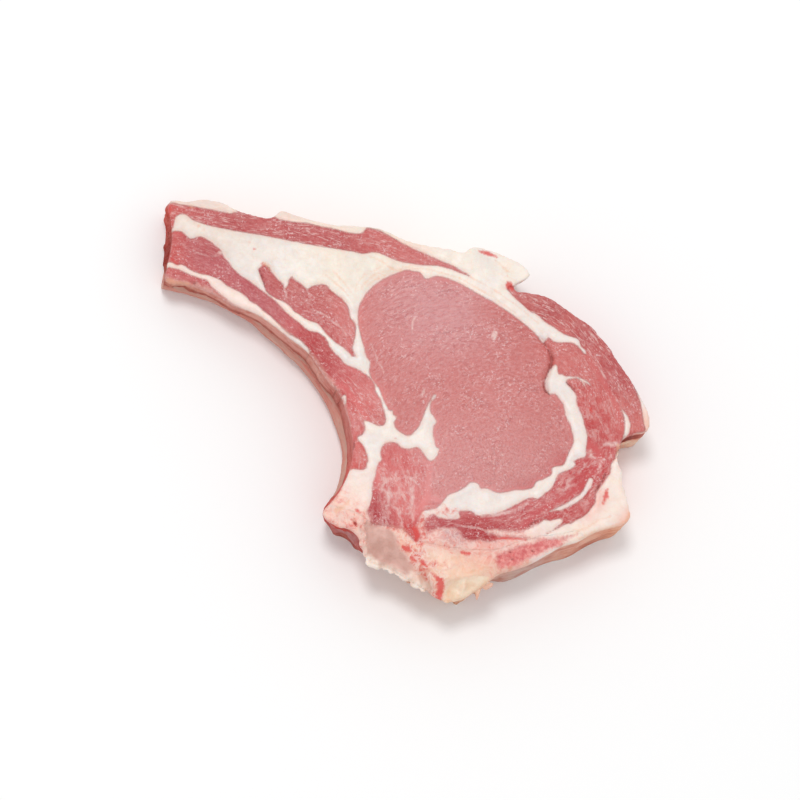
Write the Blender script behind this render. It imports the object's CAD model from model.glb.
# %% [markdown]
# # A raw veal chop
#
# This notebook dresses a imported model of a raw, bone-in veal chop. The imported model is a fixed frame: it
# says how large the chop is and where its three solids lie. The cells below model the meat, the half
# backbone and the rib again at a finer scale, colour their muscles, fat and bone, and put them under a
# soft studio light.
#
# The first cell loads the frame, and it keeps the size of its box to compare with at the end.

# %% Load the frame
import math

import bpy
import numpy as np
from mathutils import Matrix, Vector, noise


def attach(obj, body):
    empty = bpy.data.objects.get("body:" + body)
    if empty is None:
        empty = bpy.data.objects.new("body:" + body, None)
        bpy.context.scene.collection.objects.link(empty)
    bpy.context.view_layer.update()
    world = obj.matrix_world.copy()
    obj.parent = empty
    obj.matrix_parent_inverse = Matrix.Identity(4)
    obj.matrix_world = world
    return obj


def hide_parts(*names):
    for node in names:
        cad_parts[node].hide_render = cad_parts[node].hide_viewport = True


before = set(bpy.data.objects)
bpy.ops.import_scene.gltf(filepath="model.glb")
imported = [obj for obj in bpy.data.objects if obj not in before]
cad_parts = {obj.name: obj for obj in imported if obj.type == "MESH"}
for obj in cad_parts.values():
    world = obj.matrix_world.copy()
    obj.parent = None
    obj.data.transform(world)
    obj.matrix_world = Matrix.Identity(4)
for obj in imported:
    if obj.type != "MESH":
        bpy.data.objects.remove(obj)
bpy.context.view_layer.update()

bpy.ops.object.select_all(action="DESELECT")
print("nodes:", sorted(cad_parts))

# %% [markdown]
# One drawing in millimetres keeps many outlines in step, so the shapes are drawn and modelled in
# millimetres. The drawing's zero point lies a little off the middle of the chop. At the end each piece
# is moved by that much and turned into metres, with its place in its mesh.

# %% Units
MM = 0.001
DRAWING_ZERO = (-0.4, 0.8)


def points_of(piece):
    points = np.empty(len(piece.data.vertices) * 3)
    piece.data.vertices.foreach_get("co", points)
    return points.reshape(-1, 3)


def put_points(piece, points):
    piece.data.vertices.foreach_set("co", points.ravel())
    piece.data.update()


def settle(piece):
    """Turn a piece that was drawn in millimetres into metres in the frame, with its object at the origin."""
    points = points_of(piece)
    points[:, 0] += DRAWING_ZERO[0]
    points[:, 1] += DRAWING_ZERO[1]
    put_points(piece, points * MM)


print("zero point moved by", DRAWING_ZERO, "mm")

# %% [markdown]
# The chop was sawn and cut straight through the animal, so its form is an outline with a thickness. The
# outline is drawn in stretches that each follow one part of the chop, clockwise from the sawn end of the
# rib. Few points are enough, because the curve between them is smooth.

# %% The outline of the cut face
SAWN_RIB_END = [(-84, 39.6), (-83.8, 44.5), (-82.7, 50), (-82.2, 56), (-82.7, 62.5), (-83.8, 66.8)]
RIB_END_FAT = [(-82.2, 69), (-77.7, 69.2), (-71, 70.2), (-66.5, 69.2), (-61.2, 66.1), (-55, 63.9)]
UPPER_FAT = [
    (-47.5, 62.8), (-44.4, 65.2), (-40, 64.1), (-34.6, 62.7), (-25.7, 60.5), (-20.4, 60.6), (-15, 60.2),
    (-10.5, 59.5), (-5.3, 57.4), (0, 55.2), (8, 53.6), (15, 52.8), (19.7, 51.8),
]
LOOSE_FAT = [
    (23, 53.9), (28.2, 53.7), (34.7, 51.6), (40.4, 48.4), (43.2, 44.4), (41.4, 42.4), (37.8, 39.4),
]
CAP_MUSCLE = [
    (42, 38.3), (49, 36.9), (54.9, 33.4), (59.8, 29.9), (64.9, 26.5), (68.5, 22.5), (72.2, 18),
    (73.4, 15.5), (76.6, 11), (80, 5.9), (82.4, 1.4), (84.5, -3), (85.3, -6.8), (84.5, -10.3),
]
OUTER_NOTCH = [(79.5, -11.8), (75.9, -13.6), (74.5, -17.2), (73.8, -21.6)]
OUTER_FAT = [(75.3, -25.8), (75.3, -29), (76.5, -33), (77.5, -38), (78, -41), (76.4, -43.4)]
LOWER_EDGE = [
    (70.9, -45.2), (65.2, -47.1), (59.2, -50.4), (53.8, -52.2), (48.8, -55.1), (41.8, -59.1),
    (36.5, -61.1), (31.8, -62.6),
]
BONE_TIP = [(28, -65.5), (23, -69), (18, -71.7), (13.8, -72.3), (9.8, -71)]
CARTILAGE_EDGE = [(7.2, -68.8), (3.6, -66.6), (0.4, -64.4), (-4.2, -61.8), (-8, -59.8), (-12, -58.8)]
BACKBONE_CORNER = [
    (-14.9, -56), (-16.4, -52), (-19.5, -48.6), (-24.6, -46.6), (-28.5, -44.5), (-29.4, -42.2),
    (-27.4, -39.5),
]
HOLLOW_SIDE = [
    (-24.5, -36), (-21.4, -30.1), (-19.7, -25), (-19.1, -18.5), (-20, -12.4), (-21.6, -6.5),
    (-23.7, -0.6), (-27.8, 3.8), (-31.4, 9.3), (-35.4, 14.7), (-40.8, 18.9), (-46, 23.1), (-52.5, 27.9),
    (-60.8, 31.2), (-66.1, 34.4), (-71.3, 36.8), (-77.5, 38.7),
]
CHOP_OUTLINE = (
    SAWN_RIB_END + RIB_END_FAT + UPPER_FAT + LOOSE_FAT + CAP_MUSCLE + OUTER_NOTCH + OUTER_FAT
    + LOWER_EDGE + BONE_TIP + CARTILAGE_EDGE + BACKBONE_CORNER + HOLLOW_SIDE
)
print("outline:", len(CHOP_OUTLINE), "drawn points")

# %% [markdown]
# The half backbone and the thin blade that runs on from it lie along the lower edge. One line parts them
# from the meat. Both pieces are cut along it, so that they always fit.

# %% Where the backbone begins
BACKBONE_LINE = [
    (-34, -39.2), (-27, -40.4), (-21, -41.8), (-16.6, -43.4), (-12.8, -46.4), (-7.5, -47), (-2.6, -47.4),
    (2.6, -52), (8, -52.8), (13.5, -53.8), (20, -54.5), (26, -54.8),
]
BLADE_LINE = [
    (31.8, -54.2), (38.1, -51.6), (43.1, -50.4), (46, -49.2), (50, -48.7), (53.9, -48.3), (58.5, -46.9),
]
BLADE_END = [(60.6, -48.2), (61.5, -54), (61.5, -84)]
BACKBONE_CORNERS = [(-42, -84), (-42, -40)]
print("backbone line:", len(BACKBONE_LINE + BLADE_LINE + BLADE_END), "drawn points")

# %% [markdown]
# A curve through drawn points needs a direction at each of them. The rule here is that of a Bezier
# curve's automatic handles, but the curve comes out as plain points that every later cell can use.

# %% A smooth curve through drawn points
HANDLE_LENGTH = 2.5614


def smooth_loop(points, steps=4):
    """A closed smooth curve through the points, with handles as Blender's automatic ones."""
    corners = np.array(points)
    before = corners - np.roll(corners, 1, axis=0)
    after = np.roll(corners, -1, axis=0) - corners
    length_before = np.linalg.norm(before, axis=1, keepdims=True)
    length_after = np.linalg.norm(after, axis=1, keepdims=True)
    lean = before / length_before + after / length_after
    lean = lean / (HANDLE_LENGTH * np.linalg.norm(lean, axis=1, keepdims=True))
    out_handle = corners + lean * length_after
    in_handle = np.roll(corners - lean * length_before, -1, axis=0)
    end = np.roll(corners, -1, axis=0)
    loop = []
    for step in range(steps):
        t = step / steps
        start_part = (1 - t) ** 3 * corners + 3 * t * (1 - t) ** 2 * out_handle
        loop.append(start_part + 3 * t * t * (1 - t) * in_handle + t ** 3 * end)
    return np.stack(loop, axis=1).reshape(-1, 2)


outline = smooth_loop(CHOP_OUTLINE)
print("outline points:", len(outline), "on the curve")

# %% [markdown]
# Distances to drawn lines do most of the work from here on. They round the edges, cut the furrows, and
# later say how deep inside the fat or a muscle a point lies, as a distance that is positive inside.
# Smoothstep and its mirror, fade, turn a distance into a soft edge.

# %% Distances to drawn lines
FAR = 1e9


def smoothstep(low, high, value):
    """From 0 at low to 1 at high, easing in and out."""
    t = np.clip((value - low) / (high - low), 0.0, 1.0)
    return t * t * (3.0 - 2.0 * t)


def fade(low, high, value):
    """From 1 at low to 0 at high."""
    return 1.0 - smoothstep(low, high, value)


def to_stretches(x, y, line):
    """For each stretch of a line: how far along it the nearest point is, from 0 to 1, and its distance."""
    for (ax, ay, *_), (bx, by, *_) in zip(line, line[1:]):
        dx, dy = bx - ax, by - ay
        t = np.clip(((x - ax) * dx + (y - ay) * dy) / (dx * dx + dy * dy), 0.0, 1.0)
        yield t, np.sqrt((x - ax - t * dx) ** 2 + (y - ay - t * dy) ** 2)


def distance_to_line(x, y, line):
    nearest = np.full(x.shape, FAR)
    for _, distance in to_stretches(x, y, line):
        nearest = np.minimum(nearest, distance)
    return nearest


def inside(x, y, loop):
    """True inside the closed loop: a ray from such a point crosses the loop an odd number of times."""
    odd = np.zeros(x.shape, bool)
    for (ax, ay), (bx, by) in zip(loop, list(loop[1:]) + [loop[0]]):
        if ay != by:
            odd ^= ((ay > y) != (by > y)) & (x < (bx - ax) * (y - ay) / (by - ay) + ax)
    return odd


def depth_in(x, y, loop):
    """How deep a point lies inside the loop, or outside it where the number is negative."""
    closed = list(loop) + [loop[0]]
    distance = distance_to_line(x, y, closed)
    return np.where(inside(x, y, loop), distance, -distance)


def depth_in_stroke(x, y, stroke):
    """The same for a stroke, given as points with the stroke's half width at each."""
    depth = np.full(x.shape, -FAR)
    for (t, distance), start, end in zip(to_stretches(x, y, stroke), stroke, stroke[1:]):
        depth = np.maximum(depth, start[2] + (end[2] - start[2]) * t - distance)
    return depth


zero = np.zeros(1)
print("the zero point lies", round(depth_in(zero, zero, outline)[0], 1), "mm inside the outline")

# %% [markdown]
# The sides of the chop lean where the saw or the knife went in at an angle, and the loose fat overhangs.
# Each leaning place has a reach, and says how far the foot of the wall is shifted there. The upper edge
# stays on the outline.

# %% Where the sides lean
LEANING_SIDES = [
    ((-83, 52), 15, (-1.4, 0)),
    ((-20, -20), 15, (-1, 0)),
    ((-25.5, -35), 6, (-1.2, 0.8)),
    ((-30, -44), 8, (3.6, 2.2)),
    ((-20, -48.5), 9, (1.2, 1.4)),
    ((-13, -58.5), 9, (3.6, 5)),
    ((0, -64), 12, (2.8, 4)),
    ((10.5, -71.5), 12, (3.4, 5.8)),
    ((28, -66.5), 12, (-0.6, 2.6)),
    ((60, -50.5), 15, (0.4, -1.3)),
    ((41.5, 42.5), 8, (-2.4, 2.8)),
]


def foot_shift(x, y):
    shift_x, shift_y, shares = np.zeros(x.shape), np.zeros(x.shape), np.zeros(x.shape)
    for (cx, cy), reach, (out_x, out_y) in LEANING_SIDES:
        share = fade(0.2, 1.0, np.hypot(x - cx, y - cy) / reach)
        shift_x = shift_x + out_x * share
        shift_y = shift_y + out_y * share
        shares = shares + share
    shares = np.maximum(shares, 1.0)
    return shift_x / shares, shift_y / shares


print("leaning places:", len(LEANING_SIDES))

# %% [markdown]
# A cut face of raw meat isn't a plane. The chop is thinner toward the rib's end, the eye muscle swells a
# little, and the rims of fat droop. A few oval swells say that, each with a middle, two half widths, a
# turn and a rise. Furrows follow a line, such as the crease where the eye parts from the cap.

# %% Swells and furrows of the upper face
EYE_THICKNESS = 25.0
RIB_END_THICKNESS = 17.0
RIB_END_X = -88.0
FULL_THICKNESS_X = -25.0
UPPER_FACE_SWELLS = [
    ((20, 4), 44, 42, 0, 0.9),
    ((64, 6), 16, 34, 25, 0.5),
    ((55, -36), 26, 10, 32, 0.6),
    ((-72, 70.5), 13, 4.5, 0, -3),
    ((-29, 63.5), 22, 4.5, -8, -3),
    ((33, 50.5), 14, 7, -28, -2.4),
    ((-6, -62), 22, 9, -32, -3.5),
    ((18, -70), 14, 7, 8, -2),
    ((-27, -45), 8, 6, -30, -1.8),
]
EYE_CREASE = [(47, 21), (50, 16.5), (50.3, 12), (48, 6.5), (48.4, 3)]
CARTILAGE_NOTCH = [(4.6, -63.4), (6.6, -66.5), (9, -70.5)]
EYE_WRINKLES = [
    [(5.2, 12.3), (10.4, 17.9), (16.4, 24.2), (21.1, 29), (24.9, 30.6)],
    [(-2.6, 8.2), (1.3, 7.2), (5.1, 6.6), (5.8, 5.6)],
    [(-26.5, 34.6), (-22.3, 32.9), (-19.8, 28.7), (-18.4, 22.3)],
]
FURROWS = [(EYE_CREASE, 1.8, 1.1), (CARTILAGE_NOTCH, 2.0, 1.6)]
FURROWS += [(wrinkle, 1.2, 0.2) for wrinkle in EYE_WRINKLES]


def thickness(x, y):
    share = smoothstep(RIB_END_X, FULL_THICKNESS_X, x)
    height = RIB_END_THICKNESS + (EYE_THICKNESS - RIB_END_THICKNESS) * share
    for (cx, cy), half_x, half_y, turn, rise in UPPER_FACE_SWELLS:
        cosine, sine = math.cos(math.radians(turn)), math.sin(math.radians(turn))
        along = ((x - cx) * cosine + (y - cy) * sine) / half_x
        across = ((y - cy) * cosine - (x - cx) * sine) / half_y
        height = height + rise * fade(0.3, 1.0, np.hypot(along, across))
    for line, half_width, depth in FURROWS:
        height = height - depth * fade(0.0, half_width, distance_to_line(x, y, line))
    return height


middle_of_eye, end_of_rib = thickness(np.array([20.0, -80.0]), np.array([0.0, 50.0]))
print("thickness in mm:", round(middle_of_eye, 1), "at the eye,", round(end_of_rib, 1), "by the rib")

# %% [markdown]
# Solid pieces are made with a few plain tools. A circle with one corner for each drawn point is moved onto
# the drawing, and the face is extruded upward. A Boolean modifier cuts one solid with another. A voxel
# remesh gives the piece small even faces that can take fine relief.

# %% Tools for solid pieces
UNDERSIDE_BAND = 0.35
UNDERSIDE_SHARE = 0.3


def work_on(piece):
    bpy.ops.object.select_all(action="DESELECT")
    piece.select_set(True)
    bpy.context.view_layer.objects.active = piece


def flat_face(name, corners):
    """A flat round face, as a start for a solid."""
    bpy.ops.object.select_all(action="DESELECT")
    bpy.ops.mesh.primitive_circle_add(vertices=corners, fill_type="NGON")
    piece = bpy.context.object
    piece.name = piece.data.name = name
    return piece


def extrude_up(piece, height, steps=1):
    work_on(piece)
    bpy.ops.object.mode_set(mode="EDIT")
    bpy.ops.mesh.select_all(action="SELECT")
    for _ in range(steps):
        bpy.ops.mesh.extrude_region_move(TRANSFORM_OT_translate={"value": (0.0, 0.0, height)})
    bpy.ops.object.mode_set(mode="OBJECT")


def face_outward(piece):
    work_on(piece)
    bpy.ops.object.mode_set(mode="EDIT")
    bpy.ops.mesh.select_all(action="SELECT")
    bpy.ops.mesh.normals_make_consistent(inside=False)
    bpy.ops.object.mode_set(mode="OBJECT")


def plate(name, loop, low, high):
    """A flat outline, raised from one height to another."""
    piece = flat_face(name, len(loop))
    for vert, (x, y) in zip(piece.data.vertices, loop):
        vert.co = (x, y, low)
    extrude_up(piece, high - low)
    face_outward(piece)
    return piece


def apply_modifier(piece, kind, **settings):
    work_on(piece)
    modifier = piece.modifiers.new(kind.lower(), kind)
    for key, value in settings.items():
        setattr(modifier, key, value)
    bpy.ops.object.modifier_apply(modifier=modifier.name)


def cut(piece, operation, cutter):
    """Cut with another solid, which is used up by it."""
    apply_modifier(piece, "BOOLEAN", operation=operation, object=cutter, solver="EXACT")
    bpy.data.meshes.remove(cutter.data)


def even_skin(piece, voxel):
    apply_modifier(piece, "REMESH", mode="VOXEL", voxel_size=voxel)


def coarser_underside(piece):
    """Fewer faces where the piece lies on its cut face, which is flat and mostly hidden."""
    flat = points_of(piece)[:, 2] < UNDERSIDE_BAND
    chosen = [all(flat[v] for v in face.vertices) for face in piece.data.polygons]
    piece.data.polygons.foreach_set("select", chosen)
    work_on(piece)
    bpy.ops.object.mode_set(mode="EDIT")
    bpy.ops.mesh.select_mode(type="FACE")
    bpy.ops.mesh.decimate(ratio=UNDERSIDE_SHARE)
    bpy.ops.object.mode_set(mode="OBJECT")


print("undersides keep", UNDERSIDE_SHARE, "of their faces")

# %% [markdown]
# Meat and backbone begin as the same slab, and each keeps its own side of the backbone line. The bone
# keeps a little more: it reaches under the meat's surface, so that no dark line opens between them. The
# slab is lower than the chop at this stage, so that the remesh spends fewer faces on the sides.

# %% Part the slab along the backbone
SLAB = 14.0
OVERLAP = 0.9
ROOM_ABOVE_AND_BELOW = 3.0
backbone_loop = BACKBONE_LINE + BLADE_LINE + BLADE_END + BACKBONE_CORNERS
wider_loop = [(px, py + OVERLAP) for px, py in BACKBONE_LINE + BLADE_LINE]
wider_loop += [(px + OVERLAP, py) for px, py in BLADE_END] + BACKBONE_CORNERS
meat = plate("veal_meat", outline, 0.0, SLAB)
bone = plate("half_backbone", outline, 0.0, SLAB)
for piece, operation, loop in ((meat, "DIFFERENCE", backbone_loop), (bone, "INTERSECT", wider_loop)):
    cut(piece, operation, plate("backbone_room", loop, -ROOM_ABOVE_AND_BELOW, SLAB + ROOM_ABOVE_AND_BELOW))
print("corners:", len(meat.data.vertices), "in the meat,", len(bone.data.vertices), "in the bone")

# %% [markdown]
# The rib is a bar along a curved line, and so is its bed in the meat. One tool makes both: a circle is
# extruded once for each step of the line, and its corners move to a drawn section, ring by ring. A curve
# with a bevel could do it too, but here some rings can be flatter than others.

# %% A bar along a line
def smooth_path(points, steps=6):
    """An open smooth curve through the points."""
    corners = np.array(points)
    tangent = np.gradient(corners, axis=0)
    path = []
    for start, end, go, come in zip(corners, corners[1:], tangent, tangent[1:]):
        for step in range(steps):
            t = step / steps
            path.append(
                (2 * t ** 3 - 3 * t * t + 1) * start + (t ** 3 - 2 * t * t + t) * go
                + (3 * t * t - 2 * t ** 3) * end + (t ** 3 - t * t) * come
            )
    path.append(corners[-1])
    return np.array(path)


def sweep(name, path, section, squash=None):
    """A closed bar: a section, given as distance inward and height, carried along the path."""
    path = np.array(path)
    forward = np.gradient(path, axis=0)
    forward = forward / np.linalg.norm(forward, axis=1, keepdims=True)
    inward = np.stack([-forward[:, 1], forward[:, 0]], axis=1)
    squash = np.ones(len(path)) if squash is None else squash
    piece = flat_face(name, len(section))
    extrude_up(piece, 1.0, len(path) - 1)
    straight = points_of(piece)
    ring = np.rint(straight[:, 2]).astype(int)
    turned = np.arctan2(-straight[:, 0], straight[:, 1]) / (2.0 * math.pi)
    corner = np.rint(turned * len(section)).astype(int) % len(section)
    depth, height = np.array(section)[corner].T
    centre = path[ring] + inward[ring] * depth[:, None]
    put_points(piece, np.column_stack([centre, height * squash[ring]]))
    face_outward(piece)
    return piece


RIB_EDGE = [
    (-84.8, 39.9), (-75.4, 38.2), (-65.8, 35.2), (-59.5, 32), (-53.1, 28.3), (-42.1, 19.2), (-32.2, 9),
    (-25.2, -1.9), (-21.4, -12.7), (-20.6, -20), (-22, -28.5), (-24.2, -33.5),
]
rib_line = smooth_path(RIB_EDGE)
print("rib line:", len(rib_line), "steps")

# %% [markdown]
# The rib lies low along the hollow side, in a groove that is open outward, so that its outer top shows.
# The groove's section is the inner quarter of the rib's oval, a hair larger, and from its top a line
# outward. The slab is lower than the chop, so each ring of the section is lowered by as much.

# %% The bed of the rib
MEAT_VOXEL = 0.56
RIB_WIDTH = 9.5
RIB_HEIGHT = 11.5
RIB_CENTRE_HEIGHT = 5.2
GROOVE_HEIGHT = 12.4
GROOVE_REACH = 9.0
BED_DEPTH = 5.0
BED_SIDES = 6
GAP = 0.04
bed_section = [(-GROOVE_REACH, -BED_DEPTH), (RIB_WIDTH + GAP, -BED_DEPTH)]
for side in range(BED_SIDES + 1):
    angle = math.pi / 2 * side / BED_SIDES
    inward = RIB_WIDTH / 2 + (RIB_WIDTH / 2 + GAP) * math.cos(angle)
    bed_section.append((inward, RIB_CENTRE_HEIGHT + (RIB_HEIGHT / 2 + GAP) * math.sin(angle)))
bed_section.append((-GROOVE_REACH, GROOVE_HEIGHT))
BEYOND_THE_SAWN_END = [(-92.0, 40.8)]
bed_line = smooth_path(BEYOND_THE_SAWN_END + RIB_EDGE)
bed = sweep("rib_bed", bed_line, bed_section, SLAB / thickness(bed_line[:, 0], bed_line[:, 1]))
cut(meat, "DIFFERENCE", bed)
even_skin(meat, MEAT_VOXEL)
coarser_underside(meat)
print("meat:", len(meat.data.polygons), "faces")

# %% [markdown]
# Fat in a chop is a network: a wedge over the rib, a band over the eye, a column down the eye's left
# side, and seams between the muscles. Its borders were followed by eye on enlarged pieces of the photo,
# muscle by muscle, and are noted in millimetres. A loop joins them. It starts with the wedge's upper
# edge, runs out along the band that forks in the cap, and comes back over the eye.

# %% The wedge of fat and the band over the eye
WEDGE_TOP = [
    (-86, 58.7), (-82, 58.7), (-81.1, 62.6), (-79.2, 63.9), (-77.3, 63.6), (-75.7, 62.2), (-73.3, 61),
    (-69.1, 59.7), (-60.1, 57.7), (-50, 55.8), (-39.8, 53.6), (-30, 51.8), (-20, 50.6), (-15.3, 49.8),
    (-13.4, 50.5), (-10.2, 50.3), (-4.5, 47.9), (0.1, 47.1), (5, 46.5), (10.3, 46.5), (14.4, 45.5),
    (21.7, 43.1),
]
BAND_OUTER_EDGE = [
    (34.7, 39), (36.8, 36.6), (40, 33.7), (43.2, 30.9), (45.1, 30.3), (48.3, 27.5), (51.3, 25.7),
    (54.3, 23.5), (57.3, 22.3), (60, 21.5), (60.8, 19.1), (62.9, 16.2),
]
BAND_FORK = [
    (61.2, 17.4), (59.9, 18.7), (57.5, 20.2), (55.3, 20.1), (51.2, 20.5), (49.3, 21.9), (47.9, 20.1),
]
EYE_TOP_BORDER = [
    (46.5, 21.2), (43.4, 24.4), (38.6, 28.2), (33.5, 31.8), (24.3, 36.9), (17.9, 40.5), (13.6, 42.1),
    (9.8, 42.7), (7.1, 41.7), (5.8, 41.8), (4.4, 43.6), (1.2, 44.4), (-1, 44.5), (-3.4, 43.5),
    (-9.4, 40.6), (-13.8, 36.8),
]
print("wedge and band:", len(WEDGE_TOP + BAND_OUTER_EDGE + BAND_FORK + EYE_TOP_BORDER), "points")

# %% [markdown]
# From there the network runs down the eye's left side. A tongue of fat reaches in under the eye, and the
# border turns round the marbled muscle below it to the corner of cream fat over the backbone.

# %% The column left of the eye
EYE_LEFT_BORDER = [
    (-15.9, 33.7), (-17.2, 31.2), (-17.7, 27.1), (-17.3, 23), (-15.5, 15.9), (-14.5, 12.4), (-13.4, 11.1),
    (-13.8, 7.8), (-12.8, 4.9), (-10.3, 1.8), (-9.5, -0.4), (-7.4, -5.2), (-6.6, -6.3), (-5.5, -6),
    (-5.5, -7.6), (-4.2, -8.1), (-5, -10.3), (-4.7, -12.1), (-2, -14.1), (0.1, -14.9),
]
TONGUE_OF_FAT = [
    (1.4, -14), (3.9, -10.9), (5.2, -7.4), (6.3, -4.8), (7.7, -1.8), (9.9, 0.15), (7.9, -2.5),
    (7.5, -4.7), (7.9, -6.6), (9.8, -9.5), (8.7, -11.4), (8.4, -13), (8.95, -16), (9.8, -18.8),
    (10.7, -19.1), (10.4, -20.5), (9.75, -21.9), (7.9, -23.5),
]
MARBLED_MUSCLE_BORDER = [
    (6.5, -22.6), (4.7, -20.3), (3.6, -19), (2.3, -18.8), (0.4, -19.4), (-2.6, -19), (-3.6, -17.8),
    (-5, -17.3), (-8.2, -17.8), (-9.3, -19.4), (-9.6, -22.6), (-9.2, -23.4), (-10.3, -24.6),
    (-11.3, -27.8), (-11.6, -30), (-12.4, -31.6), (-12.6, -35.9), (-13.4, -39.8), (-14.2, -41.7),
    (-13.1, -44.6),
]
CORNER_OF_CREAM = [(-13.5, -50), (-22, -52), (-34, -46), (-31, -38), (-26, -34), (-22, -29)]
print("column:", len(EYE_LEFT_BORDER + TONGUE_OF_FAT + MARBLED_MUSCLE_BORDER), "points")

# %% [markdown]
# The way back follows the cream band and then the muscle along the rib, whose border is ragged because
# strands of fat run into it. An island of lean with a finger is a loop too, and is taken out of the fat.
# The fat beside the rib itself is a loop of its own.

# %% Back along the rib
CREAM_BAND_BORDER = [
    (-19.6, -27), (-17, -27.3), (-14.6, -26.6), (-14.7, -25.3), (-14.1, -24.2), (-14.4, -22),
    (-15.9, -18.3), (-17.8, -15.8), (-15.9, -14.8), (-15.1, -11.8), (-15.7, -10.2), (-14.6, -9.9),
    (-11.1, -11.4), (-9.5, -11.6), (-8.4, -11), (-7.9, -9.3), (-8.7, -6.1), (-9.8, -2.35), (-11.65, 1.1),
    (-12, 3.7),
]
RIB_MUSCLE_BORDER = [
    (-14.7, 6.4), (-18.5, 8.7), (-21.9, 9.8), (-23.8, 12), (-27.6, 16), (-28.1, 17.6), (-31.4, 20.9),
    (-34.9, 21.7), (-38.1, 24.4), (-42.7, 28.2), (-45.1, 31), (-50.9, 36), (-55.9, 39.9), (-59.4, 42.3),
    (-62.8, 46.8), (-64.1, 48.2), (-65.2, 50.9), (-66.5, 52), (-71.6, 55.6), (-73.2, 55.7), (-74.8, 55.1),
    (-76.6, 55.3), (-78.8, 57.5), (-82, 57.6), (-86, 57.6),
]
FAT_NETWORK = (
    WEDGE_TOP + BAND_OUTER_EDGE + BAND_FORK + EYE_TOP_BORDER + EYE_LEFT_BORDER + TONGUE_OF_FAT
    + MARBLED_MUSCLE_BORDER + CORNER_OF_CREAM + CREAM_BAND_BORDER + RIB_MUSCLE_BORDER
)
LOBE_WITH_FINGER = [
    (-52.4, 43.9), (-50.3, 45.4), (-48.4, 44.4), (-47.9, 43), (-45.3, 39.7), (-43.7, 38.4), (-43.3, 36.5),
    (-42.1, 38), (-41.8, 39.7), (-40.8, 41.2), (-40, 40.3), (-36.8, 37.8), (-35.2, 36.6), (-33.9, 37.7),
    (-30.2, 38.4), (-28.6, 38), (-27.2, 36.4), (-25.3, 34.8), (-24, 34.1), (-22.6, 32.5), (-21.5, 31.2),
    (-20.9, 29.5), (-20.6, 27.9), (-20.2, 26.5), (-19.1, 25.5), (-18.4, 24.1), (-18.35, 22.5),
    (-18.8, 19.2), (-19.6, 15.8), (-18.4, 12.6), (-19.8, 12.8), (-20.9, 14.1), (-22.2, 15.4),
    (-23.6, 16.4), (-25.4, 17.4), (-28.1, 20), (-29.5, 21.4), (-30.5, 23.1), (-31.9, 24.4), (-34.9, 25.3),
    (-36.5, 26.1), (-38.1, 27.4), (-39.7, 28.4), (-41.4, 30.4), (-43, 31.7), (-46.2, 33.2), (-48.8, 35),
    (-49.7, 36), (-50.3, 38.4), (-51.1, 40.3),
]
RIB_SIDE_FAT = [
    (-90, 46.5), (-83.3, 46.5), (-81.8, 46.2), (-80.2, 45.3), (-78.9, 45.8), (-76, 44), (-72, 42.2),
    (-69.4, 41.8), (-65.1, 39.9), (-63.5, 38.3), (-59.3, 36), (-57.7, 35), (-55.9, 33.5), (-55.3, 32.6),
    (-52.9, 31.3), (-50.5, 28.9), (-47.6, 26.6), (-44.5, 23.3), (-41.8, 20.8), (-37.6, 18.1), (-36, 16.4),
    (-34.4, 14.3), (-36.5, 11.5), (-42, 16), (-47, 20), (-53, 24.5), (-57, 28), (-58.2, 30.1),
    (-60.3, 31.2), (-63.7, 33.7), (-66.6, 36.2), (-68.5, 38), (-70, 40), (-71.7, 40.4), (-75.4, 41.9),
    (-79.4, 43.7), (-83.2, 44.6), (-90, 44.6),
]
print("whole network:", len(FAT_NETWORK), "points")

# %% [markdown]
# A thick seam of fat wraps the right and lower side of the eye and ends at the backbone. Its inner border
# is smooth, where it hugs the eye, and the outer one is torn.

# %% The seam round the eye
EYE_SEAM_INNER = [
    (51.7, 12.2), (50.8, 11.2), (49.7, 10), (49.2, 8.65), (48.2, 5.9), (48.3, 4.5), (48.9, 2.6),
    (49.9, 1.4), (51.55, 1.6), (53.4, -0.55), (54.5, -2.1), (55.3, -5.9), (56.9, -9.2), (57.5, -11.8),
    (58.1, -14.7), (57, -17.8), (55.5, -21.1), (54.5, -23.4), (53, -23.9), (50.3, -24.8), (50.3, -26.5),
    (49.4, -27.6), (46.5, -29.1), (44.9, -29.7), (44.3, -30.8), (43.2, -32.1), (37.3, -32.9),
    (33.2, -33.9), (31.2, -34.1), (28.2, -32.9), (26.6, -32.5), (25.2, -32.7), (24.8, -31.5), (24, -30.8),
    (21.4, -30.75), (20.2, -31.9), (17.2, -34), (14, -35.2), (12.1, -37.6), (9.7, -40), (6.8, -40.8),
    (4.7, -41.5), (4.1, -44), (2.9, -46.7), (3.3, -47.7), (4.2, -49.6), (4.1, -50.9), (2.2, -52.1),
]
EYE_SEAM_OUTER = [
    (2, -56), (9, -56), (7.5, -50.5), (6.6, -48.6), (6.1, -47.7), (5.4, -46.4), (5.4, -45.1),
    (6.2, -43.7), (8.6, -42.1), (10.8, -43.4), (14.8, -43.7), (17.4, -43.5), (18, -42.7), (17.4, -41.3),
    (19, -40.7), (22.5, -41.1), (23.6, -42.2), (26.5, -42), (30.8, -41.2), (35, -39.5), (39.8, -36.8),
    (43, -35.4), (45.2, -35.9), (47.9, -33.6), (49.3, -32.7), (50.4, -31.6), (51.8, -28.3), (52.9, -26.6),
    (56.2, -25.1), (58.9, -23.1), (58.1, -22.2), (61.9, -20.5), (62.3, -19.6), (62.5, -16.6), (63, -13.1),
    (62, -9.6), (61.2, -6.05), (60, -3.65), (59.1, -0.4), (59.2, 1), (58.3, 2.5), (56.9, 4.4),
    (55.5, 5.85), (56, 7.5), (55.1, 8.1), (54, 8.8), (52.8, 8.8), (52.5, 11.3),
]
EYE_SEAM = EYE_SEAM_INNER + EYE_SEAM_OUTER
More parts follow.
